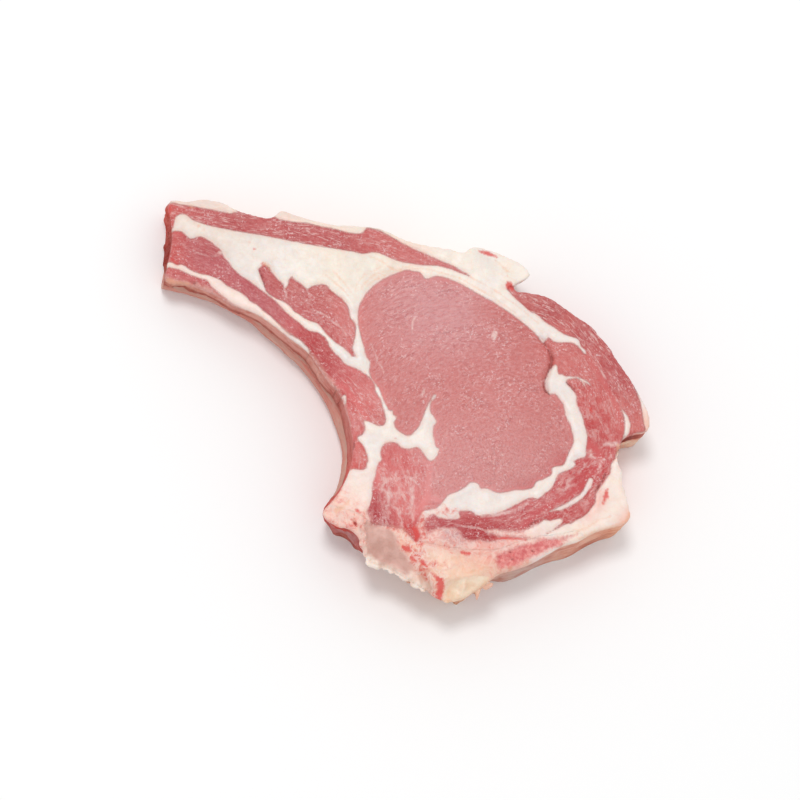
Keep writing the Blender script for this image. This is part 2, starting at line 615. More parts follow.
print("seam:", len(EYE_SEAM_INNER), "points inside and", len(EYE_SEAM_OUTER), "outside")

# %% [markdown]
# Fat also covered the outside of the chop. It was trimmed, so only flaps of it are left along the upper
# edge, at the end of the cap and at the lower right corner. The outline cuts off what runs past it.

# %% Flaps and corners of fat
RIB_END_FLAP = [
    (-90, 68.6), (-82, 68), (-79.5, 67.3), (-75.5, 66.9), (-72.4, 66.1), (-68.4, 65.4), (-65.2, 64.6),
    (-60, 64.5), (-57, 74), (-90, 74),
]
MIDDLE_FLAP = [
    (-46.5, 62.4), (-43.1, 61.3), (-40.4, 60.7), (-35.1, 60.3), (-31.1, 59.2), (-28.4, 58.8),
    (-25.7, 58.4), (-23.1, 57.8), (-20.9, 57.2), (-16.3, 57.4), (-15.2, 58.4), (-14.5, 60.4), (-14.5, 68),
    (-48, 70),
]
LOOSE_FLAP = [
    (-12.5, 61.5), (-11.3, 59.4), (-9.9, 58.4), (-6.7, 56.5), (-3.7, 55), (-0.5, 53.4), (3.3, 51.7),
    (7.7, 49.9), (11.7, 48.3), (15.8, 46.6), (19, 44.7), (21.7, 43.1), (24, 40), (33, 37.5), (34.7, 39),
    (36, 40.4), (50, 38.5), (50, 60), (-12, 68),
]
CAP_END_FAT = [
    (80.3, 5.2), (80.8, 3.7), (81.2, 1.9), (81.8, -0.1), (82.2, -2.1), (82.6, -4.3), (82.9, -6.6),
    (83.3, -8.8), (83.4, -10.6), (79.9, -11.5), (78, -16), (92, -14), (90, 4),
]
OUTER_CORNER_FAT = [
    (74.2, -17.2), (72.8, -20.6), (71.2, -22.8), (71.1, -24.4), (70.8, -26.1), (69.7, -27.7),
    (68.6, -29.3), (66.4, -32.4), (65.6, -34), (65.5, -36.4), (64.2, -38.4), (62.5, -40.5), (60.3, -42.2),
    (58.4, -43.1), (56.8, -44.3), (55.2, -44.4), (53.2, -45.5), (51.3, -46.5), (48, -47.6), (46, -48.1),
    (46, -66), (90, -60), (90, -18),
]
LOWER_WEDGE = [
    (53.9, -43.1), (51.5, -42.9), (49.5, -43.5), (47.3, -43.2), (45.7, -44.5), (43.8, -45.2),
    (41.9, -46.3), (38.1, -47.6), (36.2, -47.7), (34.4, -47.4), (31.5, -47.1), (29.4, -47.3), (27, -47.6),
    (29.4, -48.3), (32, -49.5), (37.4, -49.4), (40.6, -49.6), (45.6, -49.9), (49, -48), (52, -45.3),
]
FAT_LOOPS = [
    FAT_NETWORK, RIB_SIDE_FAT, EYE_SEAM, RIB_END_FLAP, MIDDLE_FLAP, LOOSE_FLAP, CAP_END_FAT,
    OUTER_CORNER_FAT, LOWER_WEDGE,
]
FAT_LOOPS = [smooth_loop(loop, 2).tolist() for loop in FAT_LOOPS]
print("fat loops:", len(FAT_LOOPS), "with", sum(len(loop) for loop in FAT_LOOPS), "points")

# %% [markdown]
# Thin seams are strokes: a line with a half width at each of its points. These few are as white as the
# fat that they branch from.

# %% White seams
WHITE_STROKES = {
    "seam_branch": [
        (55, 7.2, 0.7), (56.6, 7.5, 0.5), (59.4, 7.7, 0.25), (61.3, 6.7, 0.45), (63, 6, 0.2),
        (65, 4.4, -0.1),
    ],
    "seam_branch_lower": [(61.3, 6.5, 0.3), (62.1, 4.6, 0.15), (63, 2.6, -0.2)],
    "cap_streak": [
        (75.5, -3.6, 0.2), (76.7, -5.8, 0.7), (77.3, -8.5, 1), (76.9, -11.2, 0.9), (75.8, -13.5, 0.3),
    ],
    "lower_streak": [
        (63.9, -28.7, 0.8), (63.2, -30.6, 1), (61.9, -32.8, 0.7), (60.6, -34.5, 0.7), (58.7, -35.9, 0.8),
        (54.9, -38.2, 0.7), (52.8, -39.2, 0.6), (49.5, -40.1, 0.1),
    ],
    "hollow_membrane": [(-23.4, -2, 0.3), (-22.2, -1.4, 0.5), (-22, -3.8, 0.3)],
    "fat_rim_of_strip": [(-14.5, 60.2, 0.5), (-9.6, 58.9, 0.6), (-5.8, 56.7, 0.6)],
}
print("white strokes:", len(WHITE_STROKES))

# %% [markdown]
# Veins and marbling let the lean shine through, so they are kept apart as faint strokes. The first group
# lies in the tender muscles round the eye, where a vein is a single thread.

# %% Faint veins of the eye and along the rib
EYE_AND_RIB_VEINS = {
    "lobe_vein": [
        (-34.4, 29.4, 0.1), (-32.2, 28.6, 0.4), (-29.8, 27.6, 0.3), (-28.2, 26.3, 0.2),
        (-26.3, 24.7, 0.3), (-24.7, 23.9, 0.45), (-23.3, 22.6, 0.3), (-21.5, 20.2, 0.1),
    ],
    "lobe_cleft": [
        (-40.3, 40.6, 0.5), (-37.7, 38.5, 0.25), (-35.4, 36.4, 0.2), (-34.5, 34, 0.15), (-34.5, 32, 0.1),
    ],
    "lobe_vein_upper": [(-43.4, 37, 0.2), (-42.9, 35, 0.4), (-42.4, 33, 0.2)],
    "eye_rim_vein": [
        (-13.3, 17.9, 0.05), (-12.4, 15.8, 0.25), (-11.3, 13.1, 0.3), (-10.8, 11.2, 0.15),
        (-9.4, 9.3, 0.3), (-8.6, 7.1, 0.2), (-8.3, 4.7, 0),
    ],
    "eye_fleck": [(29.8, 20.8, 1), (30.4, 22.6, 1)],
    "eye_stroke_left": [(3.6, 29.6, 0.1), (1.6, 26.2, 0.4), (1.3, 22.5, 0.3), (1, 19.8, 0.1)],
    "eye_stroke_low": [(5.6, 2, 0.2), (5.2, 0.6, 0.5), (4.3, -1, 0.2)],
    "eye_specks": [(42.2, -14.2, 0.15), (43.2, -15.2, 0.1)],
    "eye_speck_middle": [(31.1, -11.4, 0.3), (31.6, -12.2, 0.2)],
    "eye_speck_low": [(32.4, -20.3, 0.35), (33, -21, 0.2)],
    "seam_root_upper": [(48.6, 7, 0.4), (47, 6, 0.25), (44, 4, 0.1), (40.5, 2.4, 0)],
    "seam_root_lower": [
        (50, 0.2, 0.35), (48, -1.5, 0.15), (46, -3, 0.25), (45.5, -4.2, 0.3), (44.6, -5.2, 0.1),
    ],
    "arm_vein": [
        (-80.6, 55.4, 0.1), (-78.3, 52.7, 0), (-75.4, 51, 0.1), (-72, 49.5, 0.3), (-69.5, 48.6, 0.2),
        (-67, 48.8, 0.3), (-65.5, 50, 0.8),
    ],
}
print("faint veins:", len(EYE_AND_RIB_VEINS))

# %% [markdown]
# The second group is the marbling of the working muscles: flecks in the cap, bands in the crescent under
# the eye, and the threads of the lump beside the backbone.

# %% Marbling of the cap, the crescent and the lump
MARBLING = {
    "cap_border": [(66.7, 12.6, 0.2), (67.8, 11, 0.4), (68.9, 9.1, 0.4), (69.7, 7.6, 0.15)],
    "cap_patch": [(63.8, 24.9, 0.1), (65, 23.4, 0.4), (66.4, 21.6, 0.1)],
    "cap_low_a": [
        (68.7, -15.9, 0.5), (70, -15.5, 0.7), (71.4, -16, 0.6), (72.7, -15.4, 0.8), (73.8, -16, 0.5),
    ],
    "cap_low_b": [(62.5, -18.8, 0.4), (64, -18.2, 0.5), (64.1, -20, 0.8), (65.6, -20.6, 0.4)],
    "cap_low_c": [(68.5, -21.1, 0.4), (67.4, -23.4, 0.5), (66.6, -25.8, 0.3)],
    "cap_low_d": [(61.5, -23.1, 0.2), (63.2, -23.9, 0.3), (65.4, -22.6, 0.3), (67.6, -21.4, 0.4)],
    "cap_low_e": [
        (57.6, -28, 0.2), (55.8, -29.4, 0.6), (56, -31.2, 0.4), (54.6, -32.5, 0.4), (51.8, -32.2, 0.2),
    ],
    "band_in_crescent": [(18.5, -46.2, 0.3), (24.1, -46.6, 0.4), (27, -47.6, 0.3)],
    "band_in_crescent_upper": [
        (25.4, -42.6, 0.4), (29.2, -42, 0.7), (36, -40.6, 0.6), (41.5, -37.6, 0.5),
    ],
    "wedge_root": [(45, -41.5, 0.1), (40, -43, 0.35), (34, -44.8, 0.1)],
    "lump_a": [(-9.6, -33.6, 0.5), (-7.3, -34.9, 0.8), (-6.6, -37.8, 0.4), (-7.6, -41, 0.2)],
    "lump_b": [(0.9, -33.5, 0.6), (1.4, -36.7, 0.6), (0.6, -40.2, 0.4), (1.6, -44.5, 0.3)],
    "lump_c": [(-3.6, -27.2, 0.4), (-5.4, -30, 0.4), (-9, -32, 0.3), (-12, -33.6, 0.2)],
    "lump_d": [(-2.6, -33, 0.5), (-3.4, -36.5, 0.4), (-5.6, -39.5, 0.4), (-3, -42, 0.5)],
    "lump_e": [(-0.8, -29, 0.2), (2.6, -31, 0.2), (0.9, -33.5, 0.4)],
}
faint_strokes = [*EYE_AND_RIB_VEINS.values(), *MARBLING.values()]
print("faint strokes:", len(faint_strokes))

# %% [markdown]
# A cut chop also has marks that belong to no muscle. They are strokes too, in three groups, because each
# group has its own colour. The first is blood: spots and streaks on the fat, and a band across the bone.

# %% Marks of blood
RED_MARKS = {
    "flap_streak": [(25, 52.4, 0.1), (26.4, 52.4, 0.5), (29, 51.9, 0.7), (31.7, 50.9, 0.3)],
    "flap_root": [(35, 41.4, 0.3), (35.6, 40.2, 1.2), (36.6, 39.2, 0.8)],
    "dot_in_fork": [(-4.6, -15.9, 0.15), (-4.2, -16.2, 0.1)],
    "dot_in_wedge": [(-53.8, 51, 0.1), (-53.5, 50.9, 0.1)],
    "finger_tip": [(-50.9, 45.6, 0.5), (-50, 45.2, 0.3)],
    "cap_spot": [(64, -3.2, 0.5), (64.6, -4.4, 0.4)],
    "muscle_end": [(2.3, -47.6, 0.9), (3.1, -49.6, 1), (2.6, -51.6, 0.6)],
    "bright_spot": [(-2, -53.9, 0.5), (-0.8, -54.6, 1), (0.5, -55.2, 0.6)],
    "spot_line": [(1.2, -57.3, 0.5), (2.4, -58.6, 0.4)],
    "spot_line_on": [(4.6, -59, 0.6), (6.4, -60.7, 0.4)],
    "band": [
        (7, -62, 0.1), (9, -64.1, 0.5), (11, -65.6, 1), (11.3, -67.5, 1.3), (11, -69.9, 1.2),
        (10.8, -72.4, 1),
    ],
    "blob_over_blade": [(18.6, -55.5, 0.6), (21.2, -55.7, 0.6)],
    "outer_blob": [(69.6, -31.8, 0.3), (69, -34.4, 1), (68.2, -36.9, 0.4)],
    "line_under_wedge": [(29.6, -50.3, 0.2), (34, -49.9, 0.5), (37.5, -50, 0.35), (41, -50.4, 0.2)],
    "spot_on_cream": [(-18.1, -41.5, 0.6), (-17.4, -42, 0.5)],
    "spot_by_notch": [(-18.7, -45.9, 0.5), (-18.2, -46.8, 0.5)],
    "membrane_stripe": [(-21.4, -28, 0.5), (-24.2, -33.8, 1), (-27.6, -39, 0.6)],
    "arm_corner": [(-83.6, 62.9, 0.5), (-83, 66, 0.4)],
    "arm_edge": [(-82.2, 47.4, 0.2), (-80.6, 46.2, 0.3)],
    "notch_spot": [(74.6, -17.2, 0.4), (74.9, -18.4, 0.6)],
}
print("red marks:", len(RED_MARKS))

# %% [markdown]
# Dark marks are creases where two muscles part, hollows in the rim, and specks in the marrow. They are
# dark because little light comes out of them, so the relief dips there as well.

# %% Dark creases and hollows
DARK_MARKS = {
    "eye_crease": [
        (47.6, 20.6, 0), (49.4, 18, 0.2), (50.4, 16, 0.4), (50.9, 13.7, 0.6), (50.4, 12, 0.5),
        (49.4, 9.8, 0.15), (48, 6.2, 0.2), (47.9, 4.6, 0.35), (48.4, 2.8, 0.3), (49.8, 1.2, 0.1),
    ],
    "seam_crease": [(55.6, 5.8, 0.1), (57.1, 4.5, 0.25), (58.1, 3.3, 0.2), (58.9, 2.4, 0)],
    "lower_crease": [(69.4, -26, 0.1), (68.2, -28.7, 0.3), (66.8, -30.9, 0.3), (65.4, -33.1, 0.05)],
    "marrow_fleck_a": [(35.4, -54.7, 0.1), (36.2, -54.9, 0)],
    "marrow_fleck_b": [(43.1, -54.2, 0.1), (43.8, -54.4, 0)],
    "marrow_fleck_c": [(36.1, -57.2, 0.1), (36.8, -57.2, 0)],
    "corner_hollow": [(-19.3, -44.6, 0.1), (-18.2, -46.6, 0.3)],
    "notch_hollow": [(79.6, -12.4, 0.3), (77.6, -13.4, 0.7), (75.8, -14.4, 0.5)],
    "finger_side": [(-51.9, 43.6, 0.2), (-50.9, 40.6, 0.25), (-49.9, 37.4, 0.1)],
    "arm_nick": [(-75.6, 39.5, 0.2), (-74.1, 38.9, 0.3)],
    "muscle_side": [(-18.6, -16.8, 0.1), (-19, -20, 0.2)],
}
print("dark marks:", len(DARK_MARKS))

# %% [markdown]
# Orange marks are warm lines and spots where the fat folds over, dries, or thins out at a rim.

# %% Warm folds and dry rims
ORANGE_MARKS = {
    "crease_over_eye": [
        (-14, 49, 0), (-9.6, 47.4, 0.1), (-7.5, 45.6, 0.1), (-5, 44.35, 0.4), (-2.6, 44.3, 0.3),
    ],
    "fold_a": [(-21.2, 34.4, 0), (-23.5, 37, 0.1), (-25.3, 38.4, 0.1), (-29.1, 41.6, 0)],
    "fold_b": [(-19.4, 34.7, 0), (-21.5, 37.6, 0.1), (-24.1, 40.5, 0.1), (-26.5, 43.1, 0)],
    "fold_c": [(-18.9, 35.9, 0), (-17.7, 39.6, 0.12), (-15.4, 42.3, 0.12), (-9.5, 45.2, 0)],
    "fold_d": [(-17.1, 36.3, 0), (-15.4, 39.3, 0.15), (-12.2, 42.1, 0.15), (-6.5, 44.2, 0.1)],
    "fold_e": [(-14.6, 38, 0.1), (-12, 40.4, 0.2), (-8.6, 42.3, 0.2), (-4.7, 43.8, 0.1)],
    "band_fold_a": [(-2, 45.6, 0), (8, 44.8, 0.1), (18, 42.2, 0.15), (30, 35.6, 0.1), (38, 30, 0)],
    "band_fold_b": [(22, 42.6, 0), (30, 38.4, 0.15), (38, 33, 0.1), (46, 26.6, 0)],
    "dot_wedge_a": [(-55.8, 53.6, 0.3), (-55.4, 53.5, 0.2)],
    "dot_wedge_b": [(-71.4, 58.1, 0.35), (-71, 58, 0.2)],
    "dot_wedge_c": [(-73.1, 59.6, 0.3), (-72.7, 59.5, 0.2)],
    "dot_flap": [(-75.7, 66.6, 0.5), (-75, 66.5, 0.3)],
    "finger_rim": [(-50.4, 45.9, 0.5), (-48.9, 45, 0.4), (-48.2, 43.4, 0.2)],
    "outer_zone": [(73.9, -16.4, 0.7), (74.5, -19, 1), (75, -21.4, 0.5)],
    "vessel": [
        (70.8, -41.3, 0.2), (66, -43.1, 0.25), (63.5, -45, 0.25), (61.3, -46, 0.2), (59.5, -46.7, 0.25),
        (57.9, -47.7, 0.1),
    ],
    "outer_rim": [
        (77.6, -40.4, 0.8), (76.5, -43.2, 0.7), (70.9, -45, 0.5), (65.2, -46.9, 0.5), (60, -49.5, 0.3),
    ],
    "cream_spot_a": [(-21.5, -39.2, 0.7), (-21, -38.8, 0.5)],
    "cream_spot_b": [(-24.6, -41.4, 0.9), (-22.6, -40.6, 0.6)],
    "flap_dot": [(34.6, 46.8, 0.4), (35.4, 45.2, 0.3)],
    "flap_crease": [(31, 49.6, 0), (33.6, 47.8, 0.2), (34.8, 45.6, 0.2), (35.2, 43, 0)],
    "flap_foot": [(40.4, 41.3, 0.5), (41.9, 42.3, 0.4)],
    "loop_on_bone": [
        (14.9, -57.6, 0.1), (18, -57.4, 0.2), (19, -60, 0.2), (18.6, -62.4, 0.3), (22, -62.2, 0.3),
        (26, -60.6, 0.2),
    ],
    "bone_cream_edge": [(13.4, -71.8, 0.5), (16.6, -72.6, 0.6), (18.4, -71.6, 0.3)],
    "bone_slot": [(14.4, -68.6, 0.35), (13.9, -70, 0.3)],
    "arm_hem": [(-83.4, 40, 0.7), (-80, 38.9, 0.6), (-76, 38.9, 0.4)],
}
mark_groups = [list(group.values()) for group in (RED_MARKS, DARK_MARKS, ORANGE_MARKS)]
print("marks:", sum(len(group) for group in mark_groups), "in", len(mark_groups), "groups")

# %% [markdown]
# Every group becomes a distance: how deep inside the nearest stroke or loop of the group a point lies.
# Distances are kept to a few millimetres, which is as far as a material needs them. The half backbone is
# pale like fat, so it counts as fat here, together with the gristle that lies above it.

# %% Distances of fat, veins and marks
DEEPEST = 6.0
GRISTLE_BY_THE_BONE = [
    (3.6, -53.4), (5, -51.2), (6.7, -48.5), (9.9, -47.4), (13.1, -46.9), (16.8, -47), (18.4, -49.1),
    (19.7, -50.7), (21.8, -51.1), (25.1, -50.8), (28.5, -51.4), (31.5, -50.3), (36, -49.6), (41, -49.9),
    (46, -49.4), (50, -50), (46, -56), (30, -60), (4, -58),
]


def greatest(x, y, depth, shapes):
    found = np.full(x.shape, -DEEPEST)
    for shape in shapes:
        found = np.maximum(found, depth(x, y, shape))
    return np.clip(found, -DEEPEST, DEEPEST)


def fat_depth(x, y):
    fat = greatest(x, y, depth_in, FAT_LOOPS + [GRISTLE_BY_THE_BONE, backbone_loop])
    fat = np.minimum(fat, -depth_in(x, y, LOBE_WITH_FINGER))
    return np.maximum(fat, greatest(x, y, depth_in_stroke, WHITE_STROKES.values()))


def mark_depths(x, y):
    return np.stack([greatest(x, y, depth_in_stroke, group) for group in mark_groups], axis=1)


grid = [places.ravel() for places in np.meshgrid(np.arange(-80.0, 81.0, 2.0), np.arange(-70.0, 71.0, 2.0))]
in_chop = inside(*grid, outline)
print("fat and bone cover", round(100 * np.mean(fat_depth(*grid)[in_chop] > 0)), "% of the cut face")

# %% [markdown]
# Each muscle has its own shade of lean, because working muscles are redder than the tender eye. A tint is
# a colour at a few places, with a reach in millimetres, and a point of the surface takes the mean of the
# tints near it. A painted texture could do this too, but a few places are easier to change.

# %% Tints of lean
LEAN_TINTS = [
    ((212, 135, 132), 16, [(-6, 26), (18, 8), (-4, 8), (30, -8)]),
    ((217, 158, 159), 12, [(6, 34), (14, 26), (2, 22)]),
    ((221, 152, 150), 16, [(24, -18), (14, -26), (38, -22)]),
    ((209, 130, 127), 8, [(44, 12), (46, -2), (51, -14), (30, 30), (-10, 12), (-4, -8)]),
    ((200, 108, 107), 9, [(-76, 65), (-62, 61), (-48, 59), (-34, 56.5), (-20, 54)]),
    ((186, 92, 92), 3.5, [(-40, 56.2), (-24, 53.4), (-60, 59.4)]),
    ((211, 118, 115), 7, [(-12, 56), (-4, 52), (6, 49.5), (16, 46)]),
    ((214, 104, 98), 5, [(-83, 66), (-81, 62.5), (-81.5, 52.5), (-81, 48)]),
    ((190, 98, 98), 5, [(-75, 53.5), (-70, 52)]),
    ((196, 109, 113), 8, [(-76, 49), (-64, 44), (-56, 36), (-46, 28)]),
    ((208, 110, 108), 4, [(-78, 42), (-72, 40.6), (-66, 37.4)]),
    ((186, 69, 71), 6, [(-36, 17), (-28, 9.5)]),
    ((211, 112, 112), 6, [(-20, 4), (-22, 6.5), (-40, 22)]),
    ((201, 111, 108), 6, [(-40, 34), (-30, 33), (-46, 39)]),
    ((218, 130, 126), 5, [(-23, 24), (-22, 30), (-20, 18)]),
    ((200, 106, 106), 5, [(-30, 25), (-26, 21)]),
    ((208, 92, 90), 5, [(-16, -6), (-20, 0)]),
    ((232, 146, 142), 4, [(-12, -3), (-14, -1)]),
    ((218, 130, 128), 5, [(-14, -2), (-17, -11)]),
    ((216, 114, 110), 5, [(-18.5, -18), (-18, -24)]),
    ((216, 107, 106), 5, [(-4, -23), (2, -26)]),
    ((226, 130, 127), 6, [(-6, -32), (2, -38), (-4, -38)]),
    ((182, 77, 81), 4.5, [(-10.5, -37), (-9.5, -43)]),
    ((205, 78, 76), 4, [(1, -47.5), (2.6, -50)]),
    ((199, 108, 105), 8, [(44, 35), (54, 30), (66, 19)]),
    ((181, 77, 81), 4, [(50, 32), (62, 22), (70, 13), (74, 6)]),
    ((196, 102, 102), 6, [(73, 15), (77, 6), (79, -2)]),
    ((215, 128, 122), 6, [(80, -8), (76, -1)]),
    ((213, 122, 118), 7, [(53, 16), (58, 14), (66, 9)]),
    ((208, 104, 102), 7, [(64, 0), (69, -4), (72, -12)]),
    ((196, 84, 84), 5, [(64.5, -9), (66, -14)]),
    ((208, 106, 104), 6, [(69, -18), (70, -24)]),
    ((200, 81, 84), 7, [(60, -26), (54, -31), (66, -25)]),
    ((196, 81, 84), 7, [(46, -38), (40, -41), (24, -44)]),
    ((204, 104, 104), 5, [(30, -44.5)]),
    ((188, 80, 84), 5, [(14, -46), (9, -46.5)]),
    ((176, 58, 62), 5, [(26, -48.8), (30, -48.8), (22, -48.6)]),
    ((203, 100, 98), 6, [(60, -38.5), (66, -30), (52, -43)]),
]
print("tints of lean:", len(LEAN_TINTS))

# %% [markdown]
# Fat is creamy in the middle of the chop, yellower on the loose flap, and pink where lean or blood lies
# close under it. Gristle and bone are pale too, so they share this list: ivory at the tip, cream on the
# chips and brown in the gaps between them.

# %% Tints of fat, gristle and bone
FAT_TINTS = [
    ((237, 226, 220), 16, [(60, -10), (46, -32), (30, 38)]),
    ((229, 217, 208), 12, [(-66, 54), (-54, 52), (-74, 59)]),
    ((237, 229, 223), 9, [(-54, 44), (-44, 46), (-18, 30), (-20, 15)]),
    ((238, 227, 214), 11, [(-30, 46), (-18, 45), (-12, 47)]),
    ((244, 222, 213), 6, [(-76, 45.2), (-60, 34.5), (-50, 28), (-68, 38.6)]),
    ((243, 233, 221), 10, [(16, 48.5), (26, 47), (36, 46)]),
    ((243, 218, 204), 7, [(-76, 68.6), (-66, 67.2), (-42, 63), (-28, 60.5), (0, 53.8)]),
    ((239, 229, 222), 8, [(-8, -14), (4, -16), (-14, -16), (8, -5)]),
    ((236, 226, 220), 8, [(30, -37), (14, -39.5), (54, -26)]),
    ((243, 225, 216), 6, [(-18, -31), (-16, -37)]),
    ((246, 205, 190), 6, [(-24, -42), (-21, -45), (-27, -41)]),
    ((232, 184, 170), 4, [(-15.4, -46.5), (-14.8, -50)]),
    ((228, 158, 158), 4, [(9.5, -49.8), (6, -50)]),
    ((186, 132, 142), 3.6, [(15.6, -49.6), (17.4, -48.6), (15, -52)]),
    ((236, 178, 170), 4.5, [(22, -52.6), (28, -53.4), (36, -51.2)]),
    ((248, 214, 202), 4, [(38, -50.6), (44, -50.4)]),
    ((244, 208, 186), 7, [(8, -54.5), (12, -57.5), (15, -61)]),
    ((240, 184, 164), 5, [(24, -58), (20, -60.5), (28, -57)]),
    ((242, 196, 176), 4, [(3, -55), (-1, -50.5)]),
    ((228, 178, 160), 3.5, [(6, -63.6), (-1.4, -59.4)]),
    ((188, 138, 120), 1.6, [(5.2, -63.8), (6.2, -66), (7.4, -68.4)] * 2),
    ((208, 164, 148), 1.3, [(-8.6, -59.6), (-4.4, -60.6), (1.4, -65.6), (-0.6, -61.6)] * 2),
    ((243, 228, 216), 2.4, [(-11.2, -60), (-6.2, -61.8), (-1.2, -63.6), (2.9, -66), (4.9, -68.4)] * 3),
    ((240, 208, 196), 2, [(-15.8, -46.4), (-16, -48.8), (-15.4, -51.4), (-15.4, -53.8)] * 2),
    ((232, 206, 178), 6, [(16, -68), (22, -66.5), (26, -64.5)]),
    ((226, 164, 146), 2.5, [(24.3, -70.6), (27.9, -67)] * 2),
    ((226, 170, 148), 4, [(33, -61.5), (30, -62.5), (37, -60)]),
    ((244, 227, 216), 7, [(72, -34), (66, -44), (75, -38), (73.5, -24)]),
    ((244, 222, 208), 5, [(56, -47), (60, -46)]),
    ((236, 160, 150), 2.5, [(67.4, -34), (66.6, -37), (63, -41)]),
    ((242, 176, 160), 2.5, [(77.4, -40.2), (75.6, -43.2)]),
    ((238, 200, 184), 3, [(83.6, -8), (82.6, -10.6)]),
]
print("tints of fat and bone:", len(FAT_TINTS))

# %% [markdown]
# The walls of the chop were never cut, apart from the dark sawn end: they wear membrane, silverskin or
# fat. They have tints of their own, which run along the wall and hardly change with height.

# %% Tints of the walls
WALL_TINTS = [
    ((144, 32, 28), 9, [(-85, 52), (-85, 58), (-85, 45)]),
    ((214, 84, 76), 5, [(-84, 65), (-84, 61)]),
    ((232, 196, 180), 14, [(-70, 70), (-50, 64), (-30, 62), (-10, 60)]),
    ((244, 226, 210), 12, [(20, 53), (34, 52), (44, 44)]),
    ((202, 98, 92), 14, [(50, 37), (64, 28), (74, 16), (82, 4)]),
    ((224, 156, 134), 6, [(85, -8), (81, -12)]),
    ((228, 108, 92), 8, [(75, -16), (74, -24)]),
    ((234, 172, 138), 9, [(77, -34), (76, -44)]),
    ((222, 160, 140), 10, [(66, -48), (56, -52)]),
    ((196, 160, 150), 9, [(46, -57), (36, -62)]),
    ((228, 168, 148), 6, [(-82, 38.5), (-76, 38)]),
    ((214, 150, 138), 14, [(-66, 34), (-44, 21), (-32, 9)]),
    ((196, 112, 104), 8, [(-24, -2), (-19.5, -16)]),
    ((208, 88, 80), 6, [(-24.5, -35), (-21, -29)]),
    ((180, 66, 58), 5, [(-28.5, -43.5), (-22, -49), (-16, -55)]),
    ((190, 130, 128), 3, [(-18.6, -51), (-25.4, -46.6)]),
    ((202, 150, 128), 5, [(-12, -60), (-8, -61), (0, -65), (4, -68)]),
    ((212, 158, 122), 7, [(14, -73), (20, -71.5)]),
    ((214, 150, 130), 6, [(27, -67), (31, -64.5)]),
]
print("tints of the walls:", len(WALL_TINTS))

# %% [markdown]
# The tints are noted as display values, from 0 to 255, because they were tuned by hand against colours
# read off the photo. Shaders reckon with linear light, so a helper converts them before they blend.

# %% Blend the tints
def linear(red, green, blue):
    """A colour from 0-255 display values to the linear values that shaders use."""
    display = np.array([red, green, blue]) / 255.0
    return np.where(display <= 0.04045, display / 12.92, ((display + 0.055) / 1.055) ** 2.4)


def blend_places(x, y, entries):
    """The mean of the values near each point. An entry is a value, its reach and its places."""
    total = np.zeros((len(x), len(entries[0][0])))
    weights = np.full(len(x), 1e-9)
    for value, reach, places in entries:
        for cx, cy in places:
            weight = np.exp(-((x - cx) ** 2 + (y - cy) ** 2) / (reach * reach)) + 1e-7
            total += weight[:, None] * np.array(value)
            weights += weight
    return total / weights[:, None]


def blend_tints(x, y, tints):
    colours = blend_places(x, y, [(linear(*colour), reach, places) for colour, reach, places in tints])
    return np.concatenate([colours, np.ones((len(x), 1))], axis=1)


middle_tint = blend_tints(zero, zero, LEAN_TINTS)[0, :3]
print("lean at the zero point, in linear light:", middle_tint.round(2).tolist())

# %% [markdown]
# Marbling isn't spread evenly either. The lump under the fork is full of fine threads, the cap shows
# chains of pale dashes along its fibres, and the eye has almost none but is finely wrinkled. Three
# numbers at a few places say so, and they blend in the same way as the tints.

# %% Threads, dashes and wrinkles
LEAN_TEXTURES = [
    ((0, 0, 1), 14, [(-6, 26), (6, 34), (18, 10), (30, -8), (24, -20), (44, 4)]),
    ((0.05, 0, 0.8), 8, [(14, -30), (-4, 4), (40, -24)]),
    ((0.15, 1, 0.2), 8, [(-70, 62), (-56, 60), (-40, 57.5), (-26, 55.5), (-14, 54)]),
    ((0.1, 0.45, 0.3), 7, [(-2, 51.5), (12, 48)]),
    ((0.1, 0.15, 0.3), 8, [(-74, 50), (-62, 42), (-50, 32), (-34, 16)]),
    ((0.25, 0.3, 0.4), 6, [(-40, 34), (-30, 33), (-24, 24)]),
    ((0.3, 0.7, 0.3), 5, [(-20, 4), (-14, -3), (-18, -10), (-18, -22)]),
    ((1, 0.1, 0.3), 5.5, [(-5, -33), (0, -37), (-3, -43), (3, -33)]),
    ((0.3, 0.1, 0.4), 5, [(-4, -22.5), (3, -24.5), (-10.5, -40), (1.6, -49)]),
    ((0.15, 1, 0.2), 7, [(50, 32), (60, 25), (68, 17), (75, 6)]),
    ((0.2, 0.3, 0.4), 7, [(54, 15), (62, 11), (80, -6)]),
    ((0.55, 0.35, 0.3), 7, [(66, -2), (68, -12), (68, -20)]),
    ((0.55, 0.3, 0.3), 6, [(60, -27), (54, -32), (66, -27), (56, -40)]),
    ((0.3, 0.8, 0.3), 7, [(44, -38.5), (32, -43.5), (20, -44.5), (10, -45.5)]),
    ((0, 0, 0.2), 5, [(26, -49), (22, -49)] * 3),
]
print("texture zones:", len(LEAN_TEXTURES))

# %% [markdown]
# Muscle fibres run in bundles, and a cut shows them as a grain that follows each muscle. A guide line
# runs through every muscle. In the eye, which is cut across its fibres, the fine wrinkles turn round a
# centre instead, and the eye's own border says where that holds.

